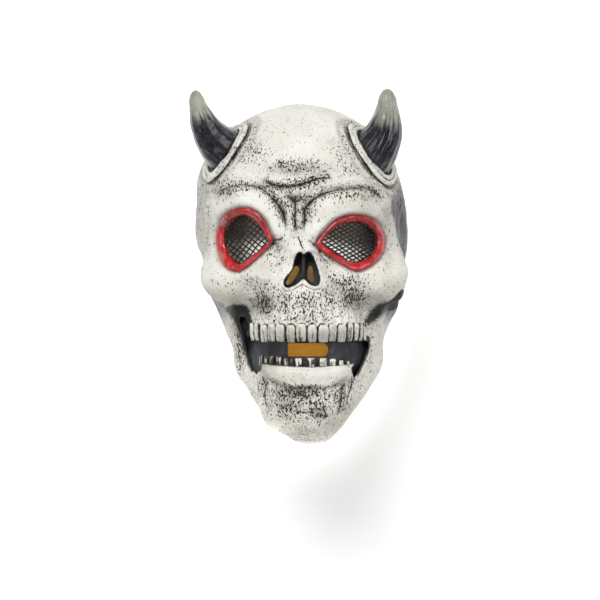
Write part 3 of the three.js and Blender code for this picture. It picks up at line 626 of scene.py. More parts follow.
def lining_material():
    n = Net("bare_latex_lining")
    warm, dusk = n.attr("amber"), n.attr("dusk")
    a = n.mix(n.remap(n.noise(30, 3), 0.3, 0.7), (0.37, 0.168, 0.0135), (0.42, 0.197, 0.0185))
    b = n.mix(n.remap(n.noise(45, 3), 0.3, 0.7), (0.79, 0.80, 0.76), (0.87, 0.88, 0.85))
    c = n.mix(warm, b, a)
    c = n.mix(n.remap(n.noise(300, 3), 0.62, 0.75, 0.0, 0.35), c, (0.30, 0.16, 0.05))
    # the lining darker above the eyes and round the nose opening: painted shade
    c = n.mix(dusk, c, (0.060, 0.038, 0.014))
    return n.set(color=c, rough=n.remap(n.noise(110, 2), 0.3, 0.7, 0.42, 0.6), normal=n.bump(n.noise(260, 4, 0.6), 0.0008, 0.6), spec=0.4)

def soot_material():
    n = Net("black_glaze")
    c = n.mix(n.remap(n.noise(70, 3), 0.35, 0.7), (0.010, 0.010, 0.012), (0.042, 0.044, 0.054))
    return n.set(color=c, rough=n.remap(n.noise(90, 3), 0.3, 0.7, 0.34, 0.55), normal=n.bump(n.noise(160, 4, 0.6), 0.0014, 0.7), spec=0.5)

def tooth_material():
    n = Net("stained_teeth")
    gap, tall = n.attr("gap"), n.attr("tall")
    base = n.mix(n.remap(n.noise(90, 3), 0.3, 0.7), (0.72, 0.70, 0.60), (0.86, 0.85, 0.79))
    streak = n.noise(1.0, 3, 0.65, vector=n.scaled(620, 85, 300))
    # dark between the teeth: partly stain, partly painted shade in the gaps
    dark = n.math("ADD", gap, n.math("MULTIPLY_ADD", streak, 1.9, -1.02))
    base = n.mix(n.remap(dark, 0.05, 0.42, 0.0, 0.6), base, (0.25, 0.22, 0.18))
    base = n.mix(n.remap(dark, 0.42, 0.66, 0.0, 0.97), base, (0.014, 0.013, 0.013))
    base = n.mix(n.remap(n.math("ADD", tall, n.math("MULTIPLY_ADD", n.noise(300, 2), 0.3, -0.15)), 0.92, 1.02), base, (0.03, 0.028, 0.026))
    return n.set(color=base, rough=n.remap(n.noise(200, 2), 0.3, 0.7, 0.33, 0.5), normal=n.bump(streak, 0.0006, 0.5), spec=0.5, coat=0.12, coat_rough=0.25)

def red_material():
    n = Net("wet_red_glaze")
    c = n.mix(n.remap(n.noise(120, 3), 0.32, 0.68), (0.34, 0.004, 0.006), (0.62, 0.012, 0.014))
    c = n.mix(n.remap(n.noise(420, 3), 0.60, 0.74, 0.0, 0.6), c, (0.16, 0.008, 0.010))
    # upper part of each rim darker, and its inner and under side near-black: painted shade
    c = n.mix(n.math("MULTIPLY", n.attr("dusk"), 0.55), c, (0.20, 0.006, 0.008))
    c = n.mix(n.remap(n.attr("edge"), 0.25, 1.0, 0.0, 0.92), c, (0.045, 0.004, 0.004))
    h = n.math("ADD", n.noise(150, 3, 0.6), n.math("MULTIPLY", n.noise(520, 3), 0.35))
    return n.set(color=c, rough=n.remap(n.noise(260, 2), 0.3, 0.7, 0.20, 0.34), normal=n.bump(h, 0.0016, 0.9), spec=0.5, coat=0.8, coat_rough=0.07)

def horn_material(fluted):
    n = Net("horn_glaze_fluted" if fluted else "horn_glaze_speckled")
    along, round_ = n.attr("along"), n.attr("round")
    v = n.t.nodes.new("ShaderNodeCombineXYZ")
    n.put(v.inputs[0], n.math("MULTIPLY", round_, 9.0)); n.put(v.inputs[1], n.math("MULTIPLY", along, 2.2))
    streak = n.noise(1.0, 4, 0.6, vector=v.outputs[0])
    v2 = n.t.nodes.new("ShaderNodeCombineXYZ")
    n.put(v2.inputs[0], n.math("MULTIPLY", round_, 26.0)); n.put(v2.inputs[1], n.math("MULTIPLY", along, 3.0))
    hair = n.noise(1.0, 3, 0.6, vector=v2.outputs[0])
    place = n.math("ADD", along, n.math("ADD", n.math("MULTIPLY_ADD", streak, 0.42, -0.21), n.math("MULTIPLY_ADD", hair, 0.22, -0.11)))
    tip = n.mix(n.remap(n.noise(60, 3), 0.3, 0.7), (0.225, 0.225, 0.18), (0.40, 0.40, 0.33))
    tip = n.mix(n.remap(hair, 0.56, 0.70, 0.0, 0.75), tip, (0.16, 0.16, 0.13))
    night = n.mix(n.remap(streak if fluted else n.noise(130, 4, 0.65), 0.40, 0.66), (0.0025, 0.003, 0.0045), (0.012, 0.015, 0.023))
    # pale streaks: on the fluted horn these are painted highlights, on the speckled horn pale flecks of its glaze
    night = n.mix(n.remap(hair if fluted else n.noise(420, 4, 0.65), 0.59, 0.69, 0.0, 0.80 if fluted else 0.34), night, (0.22, 0.235, 0.275) if fluted else (0.14, 0.16, 0.20))
    c = n.mix(n.remap(place, 0.57, 0.76) if fluted else n.remap(place, 0.61, 0.79), night, tip)
    h = n.math("ADD", n.math("MULTIPLY", hair, 0.6 if fluted else 0.25), n.noise(380, 3, 0.6))
    return n.set(color=c, rough=n.remap(place, 0.55, 0.75, 0.24, 0.44), normal=n.bump(h, 0.0008, 0.55), spec=0.5, coat=0.4, coat_rough=0.12)

def gauze_material():
    n = Net("black_gauze")
    c = n.mix(n.remap(n.noise(160, 3), 0.3, 0.7), (0.010, 0.010, 0.011), (0.030, 0.030, 0.033))
    h = n.noise(1.0, 2, vector=n.scaled(2600, 2600, 2600))
    return n.set(color=c, rough=n.remap(n.noise(500, 2), 0.3, 0.7, 0.42, 0.6), normal=n.bump(h, 0.0002, 0.7), spec=0.4)

BONE, LINING, SOOT = bone_material(), lining_material(), soot_material()
TRIO = (BONE, LINING, SOOT)

# ------------------------------------------------------------------ the shell
def ray_grid(columns, face_rows, crown_rows, level):
    """Origins and directions (3, rows, columns) of the rays that lay out the skin."""
    w = np.arange(columns) / columns - 0.5
    a = 2 * np.pi * w - 0.52 * np.sin(2 * np.pi * w)
    lift = (1 - np.arange(1, crown_rows) / crown_rows) * np.pi / 2
    o1 = np.stack([np.zeros((len(lift), columns)), np.full((len(lift), columns), CROWN_Y), np.full((len(lift), columns), -6.0)])
    d1 = np.stack([np.outer(np.cos(lift), np.sin(a)), np.outer(np.sin(lift), np.ones(columns)), np.outer(np.cos(lift), np.cos(a))])
    q = np.arange(face_rows) / face_rows
    y = CROWN_Y + (FOOT_Y - level - CROWN_Y) * np.where(q < 0.9, q * 1.04, 0.936 + 0.064 * np.sin((q - 0.9) / 0.1 * np.pi / 2))
    back = ease((-50 - y) / 90)
    one = np.ones(columns)
    o2 = np.stack([np.outer(8 * back, one), np.outer(y, one), np.outer(-6 + 78 * back, one)])
    d2 = np.stack([np.outer(np.ones(face_rows), np.sin(a)), np.zeros((face_rows, columns)), np.outer(np.ones(face_rows), np.cos(a))])
    return np.concatenate([o1, o2], 1), np.concatenate([d1, d2], 1)

def skin(level, columns, face_rows, crown_rows):
    o, d = ray_grid(columns, face_rows, crown_rows, level)
    rows = o.shape[1]
    t = reach(o.reshape(3, -1), d.reshape(3, -1), level).reshape(rows, columns)
    p = o + d * t
    top = np.array([0, CROWN_Y, -6.0]) + np.array([0, 1.0, 0]) * reach(np.array([[0], [CROWN_Y], [-6.0]]), np.array([[0], [1.0], [0]]), level)[0]
    return np.moveaxis(p, 0, -1), top, np.array([8.0, FOOT_Y - level, 72.0])

points, top, bottom = skin(0.0, COLUMNS, FACE_ROWS, CROWN_ROWS)
rows = points.shape[0]
flat = points.reshape(-1, 3)
normal = slope(*flat.T).T
lift = relief(flat, normal)
lift *= ease((flat[:, 2] - REST_Z - 1) / 4)
low = lift.reshape(rows, COLUMNS)
flat = flat + normal * lift[:, None]
flat[:, 2] = np.maximum(flat[:, 2], REST_Z)
outer = polygons("mask", *globe(flat.reshape(points.shape), top, bottom), TRIO, 0)

# the lining follows the deepest of the relief above it
lc, lf, lr = COLUMNS // 4, FACE_ROWS // 3, CROWN_ROWS // 3
inner_points, in_top, in_bottom = skin(-WALL, lc, lf, lr)
sunk = np.minimum(low, 0)
pad = np.concatenate([sunk[:1].repeat(4, 0), sunk, sunk[-1:].repeat(4, 0)], 0)
deepest = np.min([np.roll(pad, s, 1)[k:k + rows] for k in (0, 2, 4, 6, 8) for s in (-4, -2, 0, 2, 4)], axis=0)
ri = np.clip(np.round(np.r_[np.arange(1, lr) / lr * CROWN_ROWS - 1, CROWN_ROWS - 1 + np.arange(lf) / lf * FACE_ROWS]).astype(int), 0, rows - 1)
ci = (np.arange(lc) * COLUMNS / lc).round().astype(int) % COLUMNS
inner = inner_points.reshape(-1, 3)
inner = inner + slope(*inner.T).T * deepest[np.ix_(ri, ci)].reshape(-1, 1)
inner[:, 2] = np.maximum(inner[:, 2], REST_Z + WALL)
cavity = polygons("cavity", *globe(inner.reshape(inner_points.shape), in_top, in_bottom), TRIO, 1)
for o in (outer, cavity):
    tidy(o)

def mouth_front(back):
    xs = np.linspace(-80, 80, 41)
    return lathe_wall([(-80, 220)] + [(x, 90 - back - 0.0135 * (x - 3) ** 2) for x in xs] + [(80, 220)], -135.0, -45.0, (0, 2, 1))

def pocket(outline_mm, grow, front, index):
    o = tidy(polygons("pocket", *prism(grown(outline_mm, grow), 20, 200), TRIO, index, False))
    f = tidy(polygons("front", *front, TRIO, index, False))
    return combine(o, f, "INTERSECT")

mouth_mm, nose_mm = to_mm(MOUTH_OUT), to_mm(NOSE)
# the nose opening is two cavities with a thin wall between them
SEPTUM = 0.4
def nose_half(sign, grow):
    p = grown(nose_mm, grow)
    wall = np.array([[0.4 + sign * (1.1 - grow), 30], [0.4 + sign * (1.1 - grow), -60], [sign * 60, -60], [sign * 60, 30]])
    a = tidy(polygons("nose", *prism(p, 91 if grow <= 0 else 91 - WALL, 200), TRIO, 2, False))
    b = tidy(polygons("half", *prism(wall, 60, 210), TRIO, 2, False))
    return combine(a, b, "INTERSECT")

combine(outer, pocket(mouth_mm, 0, mouth_front(0), 2), "DIFFERENCE")
combine(cavity, pocket(mouth_mm, WALL, mouth_front(WALL), 1), "DIFFERENCE")
for s in (-1, 1):
    combine(outer, nose_half(s, -0.2), "DIFFERENCE")
    combine(cavity, nose_half(s, WALL), "DIFFERENCE")
shell = combine(outer, cavity, "DIFFERENCE")
for side in ("left", "right"):
    combine(shell, tidy(polygons("eye", *prism(grown(to_mm(EYE_IN[side]), 1.6), 30, 200), TRIO, 2, False)), "DIFFERENCE")
def rounded(x0, y0, x1, y1, r):
    out = [(x0, y0)]
    out += [(x1 - r + r * math.sin(a), y0 + r - r * math.cos(a)) for a in np.linspace(0, math.pi / 2, 6)]
    out += [(x1 - r + r * math.cos(a), y1 - r + r * math.sin(a)) for a in np.linspace(0, math.pi / 2, 6)]
    return out + [(x0, y1)]
def slit(pts):
    o = tidy(polygons("slit", *prism(smooth_line(pts, 4, True), 60, 96.5), TRIO, 1, False))
    combine(shell, o, "DIFFERENCE")
combine(shell, tidy(polygons("slit", *prism(rounded(-13.2, -93.4, 22, -81.8, 4.8), 60, 96.5), TRIO, 1, False)), "DIFFERENCE")
slit([(-7.4, -15.0), (-3.8, -15.4), (-4.4, -20.5), (-9.8, -28.8), (-14.4, -30.6), (-14.2, -27)])
slit([(4.8, -15.2), (8.0, -15.2), (8.8, -22), (9.2, -27.6), (6.8, -27.8), (3.6, -24.2)])
TRIM = [(140, -178), (88, -177), (76, -159), (60, -149), (40, -137), (18, -124), (-12, -113), (-50, -104), (-130, -99)]
TRIM_LINE = smooth_line(TRIM, 6)
combine(shell, tidy(polygons("trim", *lathe_wall([(140, -260)] + [tuple(q) for q in TRIM_LINE] + [(-130, -260)], -150.0, 150.0, (2, 1, 0)), TRIO, 0, False)), "DIFFERENCE")
print("shell triangles", sum(len(p.vertices) - 2 for p in shell.data.polygons))

# ------------------------------------------------------------------ paint, kept as point attributes
def blobs(u, v, table):
    out = np.zeros(len(u))
    for a, b, ra, rb, amount in table:
        out = np.maximum(out, amount * np.exp(-0.5 * (((u - a) / ra) ** 2 + ((v - b) / rb) ** 2)))
    return out

SPECK = [(306, 303, 48, 14, 0.78), (264, 303, 12, 12, 1.10), (353, 297, 13, 13, 1.08), (330, 300, 10, 13, 0.9), (284, 298, 9, 13, 0.9), (262, 290, 14, 10, 0.8), (346, 284, 16, 9, 0.95), (300, 318, 46, 5, 0.75), (300, 392, 28, 7, 1.25), (288, 406, 15, 15, 1.0), (316, 408, 14, 14, 0.95), (303, 404, 30, 20, 0.8), (269, 398, 5, 18, 0.75), (344, 396, 8, 20, 0.6),
         (296, 167, 24, 6, 0.95), (281, 166, 9, 5, 1.0), (311, 165, 9, 5, 1.0), (292, 182, 30, 6, 0.65), (298, 205, 14, 12, 0.9), (226, 191, 12, 6, 1.0), (262, 186, 12, 8, 0.7), (345, 194, 26, 8, 0.80), (375, 192, 10, 9, 0.7),
         (275, 248, 10, 14, 0.7), (325, 258, 12, 12, 0.75), (282, 265, 10, 12, 0.6), (250, 283, 14, 9, 0.6), (336, 282, 14, 9, 0.8), (297, 225, 10, 14, 0.55),
         (232, 350, 11, 34, 0.55), (240, 352, 4, 22, 1.15), (378, 345, 13, 34, 0.30), (370, 352, 4, 24, 0.6), (250, 392, 14, 18, 0.5), (362, 388, 12, 18, 0.4), (243, 318, 9, 8, 0.7), (366, 322, 9, 9, 0.7),
         (340, 165, 14, 9, 0.35), (262, 160, 12, 10, 0.4), (210, 220, 7, 20, 0.45), (201, 212, 5, 34, 0.5), (388, 225, 7, 26, 0.45), (391, 285, 12, 12, 0.25), (215, 285, 12, 12, 0.28), (241, 205, 16, 8, 0.2), (350, 205, 16, 8, 0.25),
         (300, 135, 34, 16, 0.12), (300, 372, 34, 6, 0.10), (250, 151, 15, 13, 0.80), (344, 152, 12, 14, 0.55), (262, 130, 14, 8, 0.3), (352, 170, 12, 6, 0.7), (222, 182, 10, 8, 0.8), (305, 435, 24, 8, 0.50), (240, 290, 10, 8, 0.35), (372, 282, 10, 9, 0.25), (290, 440, 30, 4, 0.55)]
# grey blots laid into the wash; some are painted shade, such as the band along the bottom of the chin and the spots in
# hollows
GREY = [(264, 306, 7, 6, 0.62), (355, 299, 7, 8, 0.32), (295, 199, 7, 4, 0.85), (297, 169, 24, 5, 0.42), (296, 226, 6, 12, 0.32), (275, 243, 6, 5, 0.55), (317, 243, 5, 6, 0.55),
        (300, 392, 24, 5, 0.42), (281, 402, 11, 12, 0.20), (320, 413, 6, 6, 0.40), (222, 330, 6, 20, 0.26), (388, 325, 6, 20, 0.05), (240, 372, 5, 16, 0.16), (368, 376, 8, 16, 0.05),
        (238, 327, 6, 9, 0.62), (371, 328, 6, 8, 0.40), (222, 192, 9, 7, 0.50), (372, 196, 13, 5, 0.46), (258, 188, 14, 3, 0.40), (284, 205, 4, 12, 0.45), (308, 205, 4, 10, 0.45),
        (208, 225, 4, 26, 0.30), (202, 225, 1.6, 34, 0.22), (388, 232, 4, 30, 0.40), (330, 289, 10, 5, 0.35), (311, 301, 6, 9, 0.12), (252, 285, 12, 5, 0.28), (264, 372, 5, 12, 0.40), (343, 392, 4, 14, 0.45), (268, 366, 8, 4, 0.35),
        (352, 189, 26, 3, 0.50), (240, 186, 20, 3, 0.35), (214, 305, 9, 3, 0.30), (350, 262, 16, 4, 0.12), (262, 266, 7, 5, 0.25), (325, 264, 7, 5, 0.25), (303, 434, 24, 6, 0.55), (292, 439, 34, 3.5, 0.60), (268, 420, 8, 9, 0.34), (336, 428, 10, 8, 0.50), (352, 406, 8, 9, 0.25), (250, 402, 6, 10, 0.20), (243, 350, 4, 18, 0.34), (215, 292, 10, 12, 0.10), (388, 288, 10, 12, 0.12), (241, 205, 16, 6, 0.06)]
# dark blots in the hollows under the cheekbones beside the mouth: black paint deepened as painted shade
DARK = [(241, 311, 8, 5, 0.55), (375, 310, 8, 6, 0.45), (246, 338, 3, 10, 0.4), (374, 300, 5, 4, 0.18)]
WARM = [(222, 292, 14, 12, 0.35), (386, 290, 14, 12, 0.35), (240, 345, 12, 26, 0.45), (374, 350, 12, 26, 0.35), (283, 372, 24, 6, 0.3), (262, 300, 10, 8, 0.7), (354, 297, 12, 9, 0.5), (290, 410, 18, 14, 0.5),
        (352, 215, 20, 9, 0.3), (245, 385, 9, 14, 0.3), (268, 362, 8, 6, 0.8), (348, 422, 8, 9, 1.0), (330, 432, 8, 5, 0.5)]

def paint(o, shell_like=True):
    me = o.data
    n = len(me.vertices)
    p = np.empty(n * 3); me.vertices.foreach_get("co", p); p = p.reshape(-1, 3) * 1000 - SHIFT
    nr = np.empty(n * 3); me.vertices.foreach_get("normal", nr); nr = nr.reshape(-1, 3)
    x, y, z = p.T
    u, v = x / CELL + 303, 250 - y / CELL
    front = ease((z - 2) / 34) * ease((nr[:, 2] + 0.15) / 0.35)
    # curvature: how far a point lies under the mean of its neighbours
    e = np.empty(len(me.edges) * 2, dtype=np.int32); me.edges.foreach_get("vertices", e); e = e.reshape(-1, 2)
    deg = np.bincount(e.ravel(), minlength=n).astype(float) + 1e-9
    def spread(f):
        out = np.zeros_like(f)
        for k in range(f.shape[1]):
            out[:, k] = np.bincount(e[:, 0], f[e[:, 1], k], n) + np.bincount(e[:, 1], f[e[:, 0], k], n)
        return out / deg[:, None]
    length = np.linalg.norm(p[e[:, 0]] - p[e[:, 1]], axis=1)
    size = (np.bincount(e[:, 0], length, n) + np.bincount(e[:, 1], length, n)) / deg
    bend = np.sum((spread(p) - p) * nr, axis=1) / (size ** 2 + 0.2)
    b1 = bend[:, None]
    for _ in range(2):
        b1 = 0.5 * b1 + 0.5 * spread(b1)
    b2 = b1
    for _ in range(9):
        b2 = 0.3 * b2 + 0.7 * spread(b2)
    b1, b2 = b1[:, 0], b2[:, 0]
    low = -relief(p, nr)
    # glaze in hollows and creases from curvature and depth of relief: partly the mask's wash, partly painted shade
    wash = 0.34 * ease((b1 - 0.05) / 0.35) + 0.34 * ease((b2 - 0.03) / 0.20) + 0.26 * ease((low - 0.6) / 2.6) * front
    speck = blobs(u, v, SPECK) * front
    black = blobs(u, v, DARK) * ease((z - 0) / 20) * ease((nr[:, 2] + 0.4) / 0.3)
    wash = wash + blobs(u, v, GREY) * front
    warm = blobs(u, v, WARM) * front
    seam, seam_dark = np.full(n, 6.0), np.zeros(n)
    uw, vw = u + 1.6 * (lattice_noise(p, 7.0, 3) - 0.5), v + 1.6 * (lattice_noise(p, 6.0, 4) - 0.5)
    for pts, depth, w, _, dark in CREASES:
        line = smooth_line(pts, 5)
        lo, hi = line.min(0) - 16, line.max(0) + 16
        k = np.nonzero((u > lo[0]) & (u < hi[0]) & (v > lo[1]) & (v < hi[1]) & (front > 0))[0]
        d, t = beside_line(uw[k], vw[k], line)
        fade = ease(t / 0.14) * ease((1 - t) / 0.14) * front[k]
        core = np.interp(t, np.linspace(0, 1, len(dark)), dark)
        # darkness in and beside the creases: wash, partly painted shade
        strong = fade * core * (0.7 + 0.6 * lattice_noise(p[k], 5.0, 23)) * np.exp(-(d / 3.2) ** 2)
        win = strong > seam_dark[k]
        seam[k[win]] = d[win] * CELL; seam_dark[k[win]] = strong[win]
        wash[k] += fade * (0.05 + 0.26 * core) * min(1.0, depth / 2.0) * np.exp(-0.5 * (d / (1.2 * w)) ** 2)
        speck[k] = np.maximum(speck[k], fade * min(1.1, 0.40 * depth) * (0.55 + 0.45 * core) * np.exp(-0.5 * (d / 5.5) ** 2))
    black = np.maximum(black, 0.0)
    for poly, soft, amount, behind in BLACKED_AND_SHADED:
        k = np.nonzero((np.abs(u - poly[:, 0].mean()) < 30) & (np.abs(v - poly[:, 1].mean()) < 46) & (z > behind))[0]
        wider = 2 * soft + 12 * ease((26 - z[k]) / 34)
        black[k] = np.maximum(black[k], amount * ease(0.5 - signed(u[k], v[k], poly) / wider) * ease((z[k] - behind) / (14 if behind > 0 else 26)))
    # edge of the mouth and of the nose
    dm, dn = signed(u, v, MOUTH_OUT), signed(u, v, NOSE)
    near = front * (z > 40)
    left = ease((300 - u) / 60)
    black = np.maximum(black, near * (dm > -3) * np.exp(-0.5 * (np.maximum(dm, 0) / (0.7 + 1.5 * left)) ** 2) * (0.60 + 0.35 * left) * (v < 372))
    black = np.maximum(black, near * 1.1 * np.exp(-0.5 * (np.maximum(dn, 0) / 0.7) ** 2))
    bright = near * np.exp(-0.5 * ((dn - 3.2) / 2.0) ** 2) * (dn > 0)
    speck *= 1 - 0.8 * bright; wash *= 1 - 0.7 * bright
    # gum line over the upper teeth, scalloped
    q = np.clip((u - 306.6) / 54.0, -0.98, 0.98)
    k = (np.arcsin(q * math.sin(1.28)) / 1.28 + 1) / 2 * 14
    scallop = 328.4 - 5.4 * np.abs(np.sin(np.pi * k)) ** 0.55 + 0.8 * np.abs(q)
    black = np.maximum(black, near * (np.abs(u - 306.6) < 57) * 1.1 * ease((v - scallop + 0.9) / 1.0) * ease((346 - v) / 2))
    # lower gum stays smooth, with a dark line over and under it
    gum = near * ease((v - 366) / 2) * ease((v - 362 - 26 * np.sqrt(np.clip(1 - ((u - 307) / 50) ** 2, 0, 1)) < -4) * 1.0) * (np.abs(u - 307) < 46)
    speck *= 1 - 0.8 * gum; wash *= 1 - 0.55 * gum
    black = np.maximum(black, near * (np.abs(u - 307) < 46) * 0.9 * ease((v - 355) / 2) * ease((367.0 - 2.2 * ((u - 307) / 42) ** 2 - v) / 1.6))
    # rims, collars and horns: dark where they meet the bone, painted shade
    for side in ("left", "right"):
        do = signed(u, v, EYE_OUT[side])
        wash += near * 0.55 * np.exp(-0.5 * ((do - 0.2) / 1.1) ** 2)
        black = np.maximum(black, near * (do < -2.0) * 0.95)
        lid = near * np.exp(-0.5 * ((do - 6) / 5) ** 2) * ease((246 - v) / 16)
        speck *= 1 - 0.5 * lid
    for h in HORNS.values():
        rho, a = about_horn(p, h)
        on = (a > -32) & (a < 30)
        out = rho - h["r"]
        wash += on * (0.95 * np.exp(-0.5 * ((out - 9.0) / 1.0) ** 2) + 0.22 * np.exp(-0.5 * ((out - 12) / 3.0) ** 2) + 0.30 * np.exp(-0.5 * ((out - 18) / 1.6) ** 2))
        black = np.maximum(black, on * (out < 8.0) * 1.0)
        speck = np.maximum(speck, on * 0.5 * np.exp(-0.5 * ((out - 14) / 5) ** 2))
    # back and sides
    rest = 1 - front
    big = lattice_noise(p, 26.0, 31)
    speck = np.maximum(speck, rest * (0.20 + 0.35 * ease((big - 0.4) / 0.4)))
    speck = np.maximum(speck, 0.05 + 0.10 * lattice_noise(p, 14.0, 33))
    wash += rest * 0.16 * ease((lattice_noise(p, 34.0, 35) - 0.35) / 0.4) + 0.05
    # grey in the temple hollows, much stronger on the right side
    temple = np.exp(-0.5 * (((np.abs(x) - 92) / 12) ** 2 + ((y - 20) / 30) ** 2 + ((z - 14) / 27) ** 2))
    grey = ease(temple * 1.5) * np.where(x > 0, 0.92, 0.30)
    hollow = smooth_line([(396, 189), (391.5, 199), (391, 211), (394.5, 222), (397, 237), (402.5, 251), (412, 252), (420, 235), (420, 205), (408, 190)], 4, True)
    k = np.nonzero((u > 384) & (v > 180) & (v < 262) & (z > -20))[0]
    wider = 3.4 + 26 * ease((30 - z[k]) / 34)
    grey[k] = np.maximum(grey[k], 0.95 * ease(0.5 - signed(u[k], v[k], hollow) / wider) * ease((z[k] + 18) / 40) * ease((v[k] - 184) / 18))
    # painted shadow round the notch under the cheekbone, seen only from that side
    grey = np.maximum(grey, 0.62 * ease((x - 66) / 14) * np.exp(-0.5 * (((y + 47) / 11) ** 2 + ((z - 34) / 24) ** 2)))
    # darker under the cheekbones where the surface turns away from up: painted shade
    under = np.exp(-0.5 * (((np.abs(x) - 84) / 14) ** 2 + ((y + 47) / 13) ** 2 + ((z - 22) / 28) ** 2))
    grey = np.maximum(grey, ease(under * 1.3) * np.where(x > 0, 0.9, 0.7) * (nr[:, 1] < 0.3))
    amber = np.maximum((1 - ease((np.abs(x - 1) - 13) / 13)) * (1 - ease((y + 6) / 20)), 1 - ease((y + 62) / 34))
    amber = np.maximum(amber, 0.08 + 0.65 * ease((z + 50) / 60))
    # lining darker above the eyes and round the nose opening: painted shade
    dusk = np.where(x < 0, ease((11 + (237 - v)) / 14), ease((14 + (238 - v) + 0.2 * (u - 352)) / 14))
    dusk = dusk * 0.92 * ease((62 - y) / 26) * ease((np.abs(x) - 6) / 14)
    dusk = np.maximum(dusk, np.where(u < 303, 0.92, 1.15) * np.exp(-0.5 * (((u - 303) / 17) ** 2 + ((v - 276) / 14) ** 2)))
    for name, val in dict(seam=seam, seam_dark=np.clip(seam_dark, 0, 1), dusk=np.clip(dusk, 0, 1), wash=np.clip(wash, 0, 1.6), speck=np.clip(speck, 0, 1.2), black=np.clip(black, 0, 1), grey=np.clip(grey, 0, 1), warm=np.clip(warm, 0, 1), amber=np.clip(amber, 0, 1)).items():
        me.attributes.new(name, "FLOAT", "POINT").data.foreach_set("value", val.astype(np.float32))

def floats(o, **values):
    for name, val in values.items():
        o.data.attributes.new(name, "FLOAT", "POINT").data.foreach_set("value", np.broadcast_to(np.asarray(val, float), (len(o.data.vertices),)).astype(np.float32))

def finish_mesh(o, angle=38):
    me = o.data
    me.polygons.foreach_set("use_smooth", np.ones(len(me.polygons), dtype=bool))
    me.set_sharp_from_angle(angle=math.radians(angle))
    me.update()
    return o

def as_piece(o, name, node):
    o.name = name
    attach(o, "root"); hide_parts(node)
    return o

paint(shell)
finish_mesh(shell, 50)
as_piece(shell, "shell", "mask_shell")

# ------------------------------------------------------------------ red rims
RED = red_material()
for side in ("left", "right"):
    def fine(pts):
        return to_mm(smooth_line(pts[::6], 18, True))
    a, b = fine(EYE_IN[side]), fine(EYE_OUT[side])
    n = len(a)
    za, zb = front_of(a[:, 0], a[:, 1]), front_of(b[:, 0], b[:, 1])
    A, B = np.c_[a, za - 1.2], np.c_[b, zb - 0.6]
    mid, half = (A + B) / 2, (B - A) / 2
    wide = np.linalg.norm(half, axis=1)
    rise = np.minimum(4.2, 1.25 * wide)[:, None]
    across = np.cross(half, np.roll(mid, -1, 0) - np.roll(mid, 1, 0)); across /= np.linalg.norm(across, axis=1)[:, None]
    across *= np.sign(across[:, 2:3])
    across = 0.35 * across + np.array([0, 0, 0.65]); across /= np.linalg.norm(across, axis=1)[:, None]
    m = 26
    ang = np.arange(m) / m * 2 * np.pi
    ca, sa = np.cos(ang), np.sin(ang)
    prof = np.sign(ca) * np.abs(ca) ** 0.9
    v = mid[:, None] + half[:, None] * (prof * 1.04)[None, :, None] + across[:, None] * rise[:, None] * np.where(sa > 0, np.abs(sa) ** 0.85, -1.15 * np.abs(sa))[None, :, None]
    w = v.reshape(-1, 3)
    top = np.tile(np.maximum(sa, 0), n)
    bump = (lattice_noise(w, 8.5, 41) - 0.5) * 1.3 + (lattice_noise(w, 3.4, 42) - 0.5) * 0.6 + (lattice_noise(w, 1.7, 43) - 0.5) * 0.3
    w = w + np.repeat(across, m, 0) * (bump * (0.35 + 0.65 * top))[:, None]
    f = [(i * m + k, i * m + (k + 1) % m, ((i + 1) % n) * m + (k + 1) % m, ((i + 1) % n) * m + k) for i in range(n) for k in range(m)]
    rim = tidy(polygons("rim", w, f, (RED,)))
    inner = np.tile(np.maximum(-ca, 0), n)
    # the under and inner side of the rim, and its upper part, darker: painted shade
    shade = 1 - ease(np.tile(sa, n) / 0.36 + 0.35 * (lattice_noise(w, 3.0, 44) - 0.5))
    shade = np.maximum(shade, 0.85 * ease((inner - 0.50) / 0.35) * (0.6 + 0.6 * lattice_noise(w, 5.0, 45)))
    upper = ease((np.repeat(mid[:, 1], m) - mid[:, 1].mean()) / 12)
    floats(rim, edge=np.clip(shade, 0, 1), dusk=upper * (0.5 + 0.7 * lattice_noise(w, 8.0, 46)))
    as_piece(finish_mesh(rim, 70), "eye_rim_" + side, "mask_shell")

# ------------------------------------------------------------------ horns and their collars
def spline(points, t):
    """Centripetal Catmull-Rom through the points at places t in 0..1, equal steps between points."""
    p = [np.asarray(q, float) for q in points]
    p = [2 * p[0] - p[1]] + p + [2 * p[-1] - p[-2]]
    out = []
    last = len(points) - 1
    for s in np.atleast_1d(t):
        k = min(int(s * last), last - 1); w = s * last - k
        a, b, c, d = p[k:k + 4]
        t0, t1, t2 = np.linalg.norm(b - a) ** 0.5, np.linalg.norm(c - b) ** 0.5, np.linalg.norm(d - c) ** 0.5
        m1 = ((b - a) / t0 - (c - a) / (t0 + t1) + (c - b) / t1) * t1
        m2 = ((c - b) / t1 - (d - b) / (t1 + t2) + (d - c) / t2) * t1
        out.append((2 * b - 2 * c + m1 + m2) * w ** 3 + (-3 * b + 3 * c - 2 * m1 - m2) * w * w + m1 * w + b)
    return np.array(out)

def horn_radius(h, t):
    r = np.asarray(h["radii"], float); last = len(r) - 1
    smooth = np.interp(t * last, np.arange(last + 1), r)
    f = np.clip(t * last - (last - 1), 0, 1)
    return np.where(t * last > last - 1, r[last - 1] * np.sqrt(np.maximum(1 - f ** 1.6, 0)), smooth)

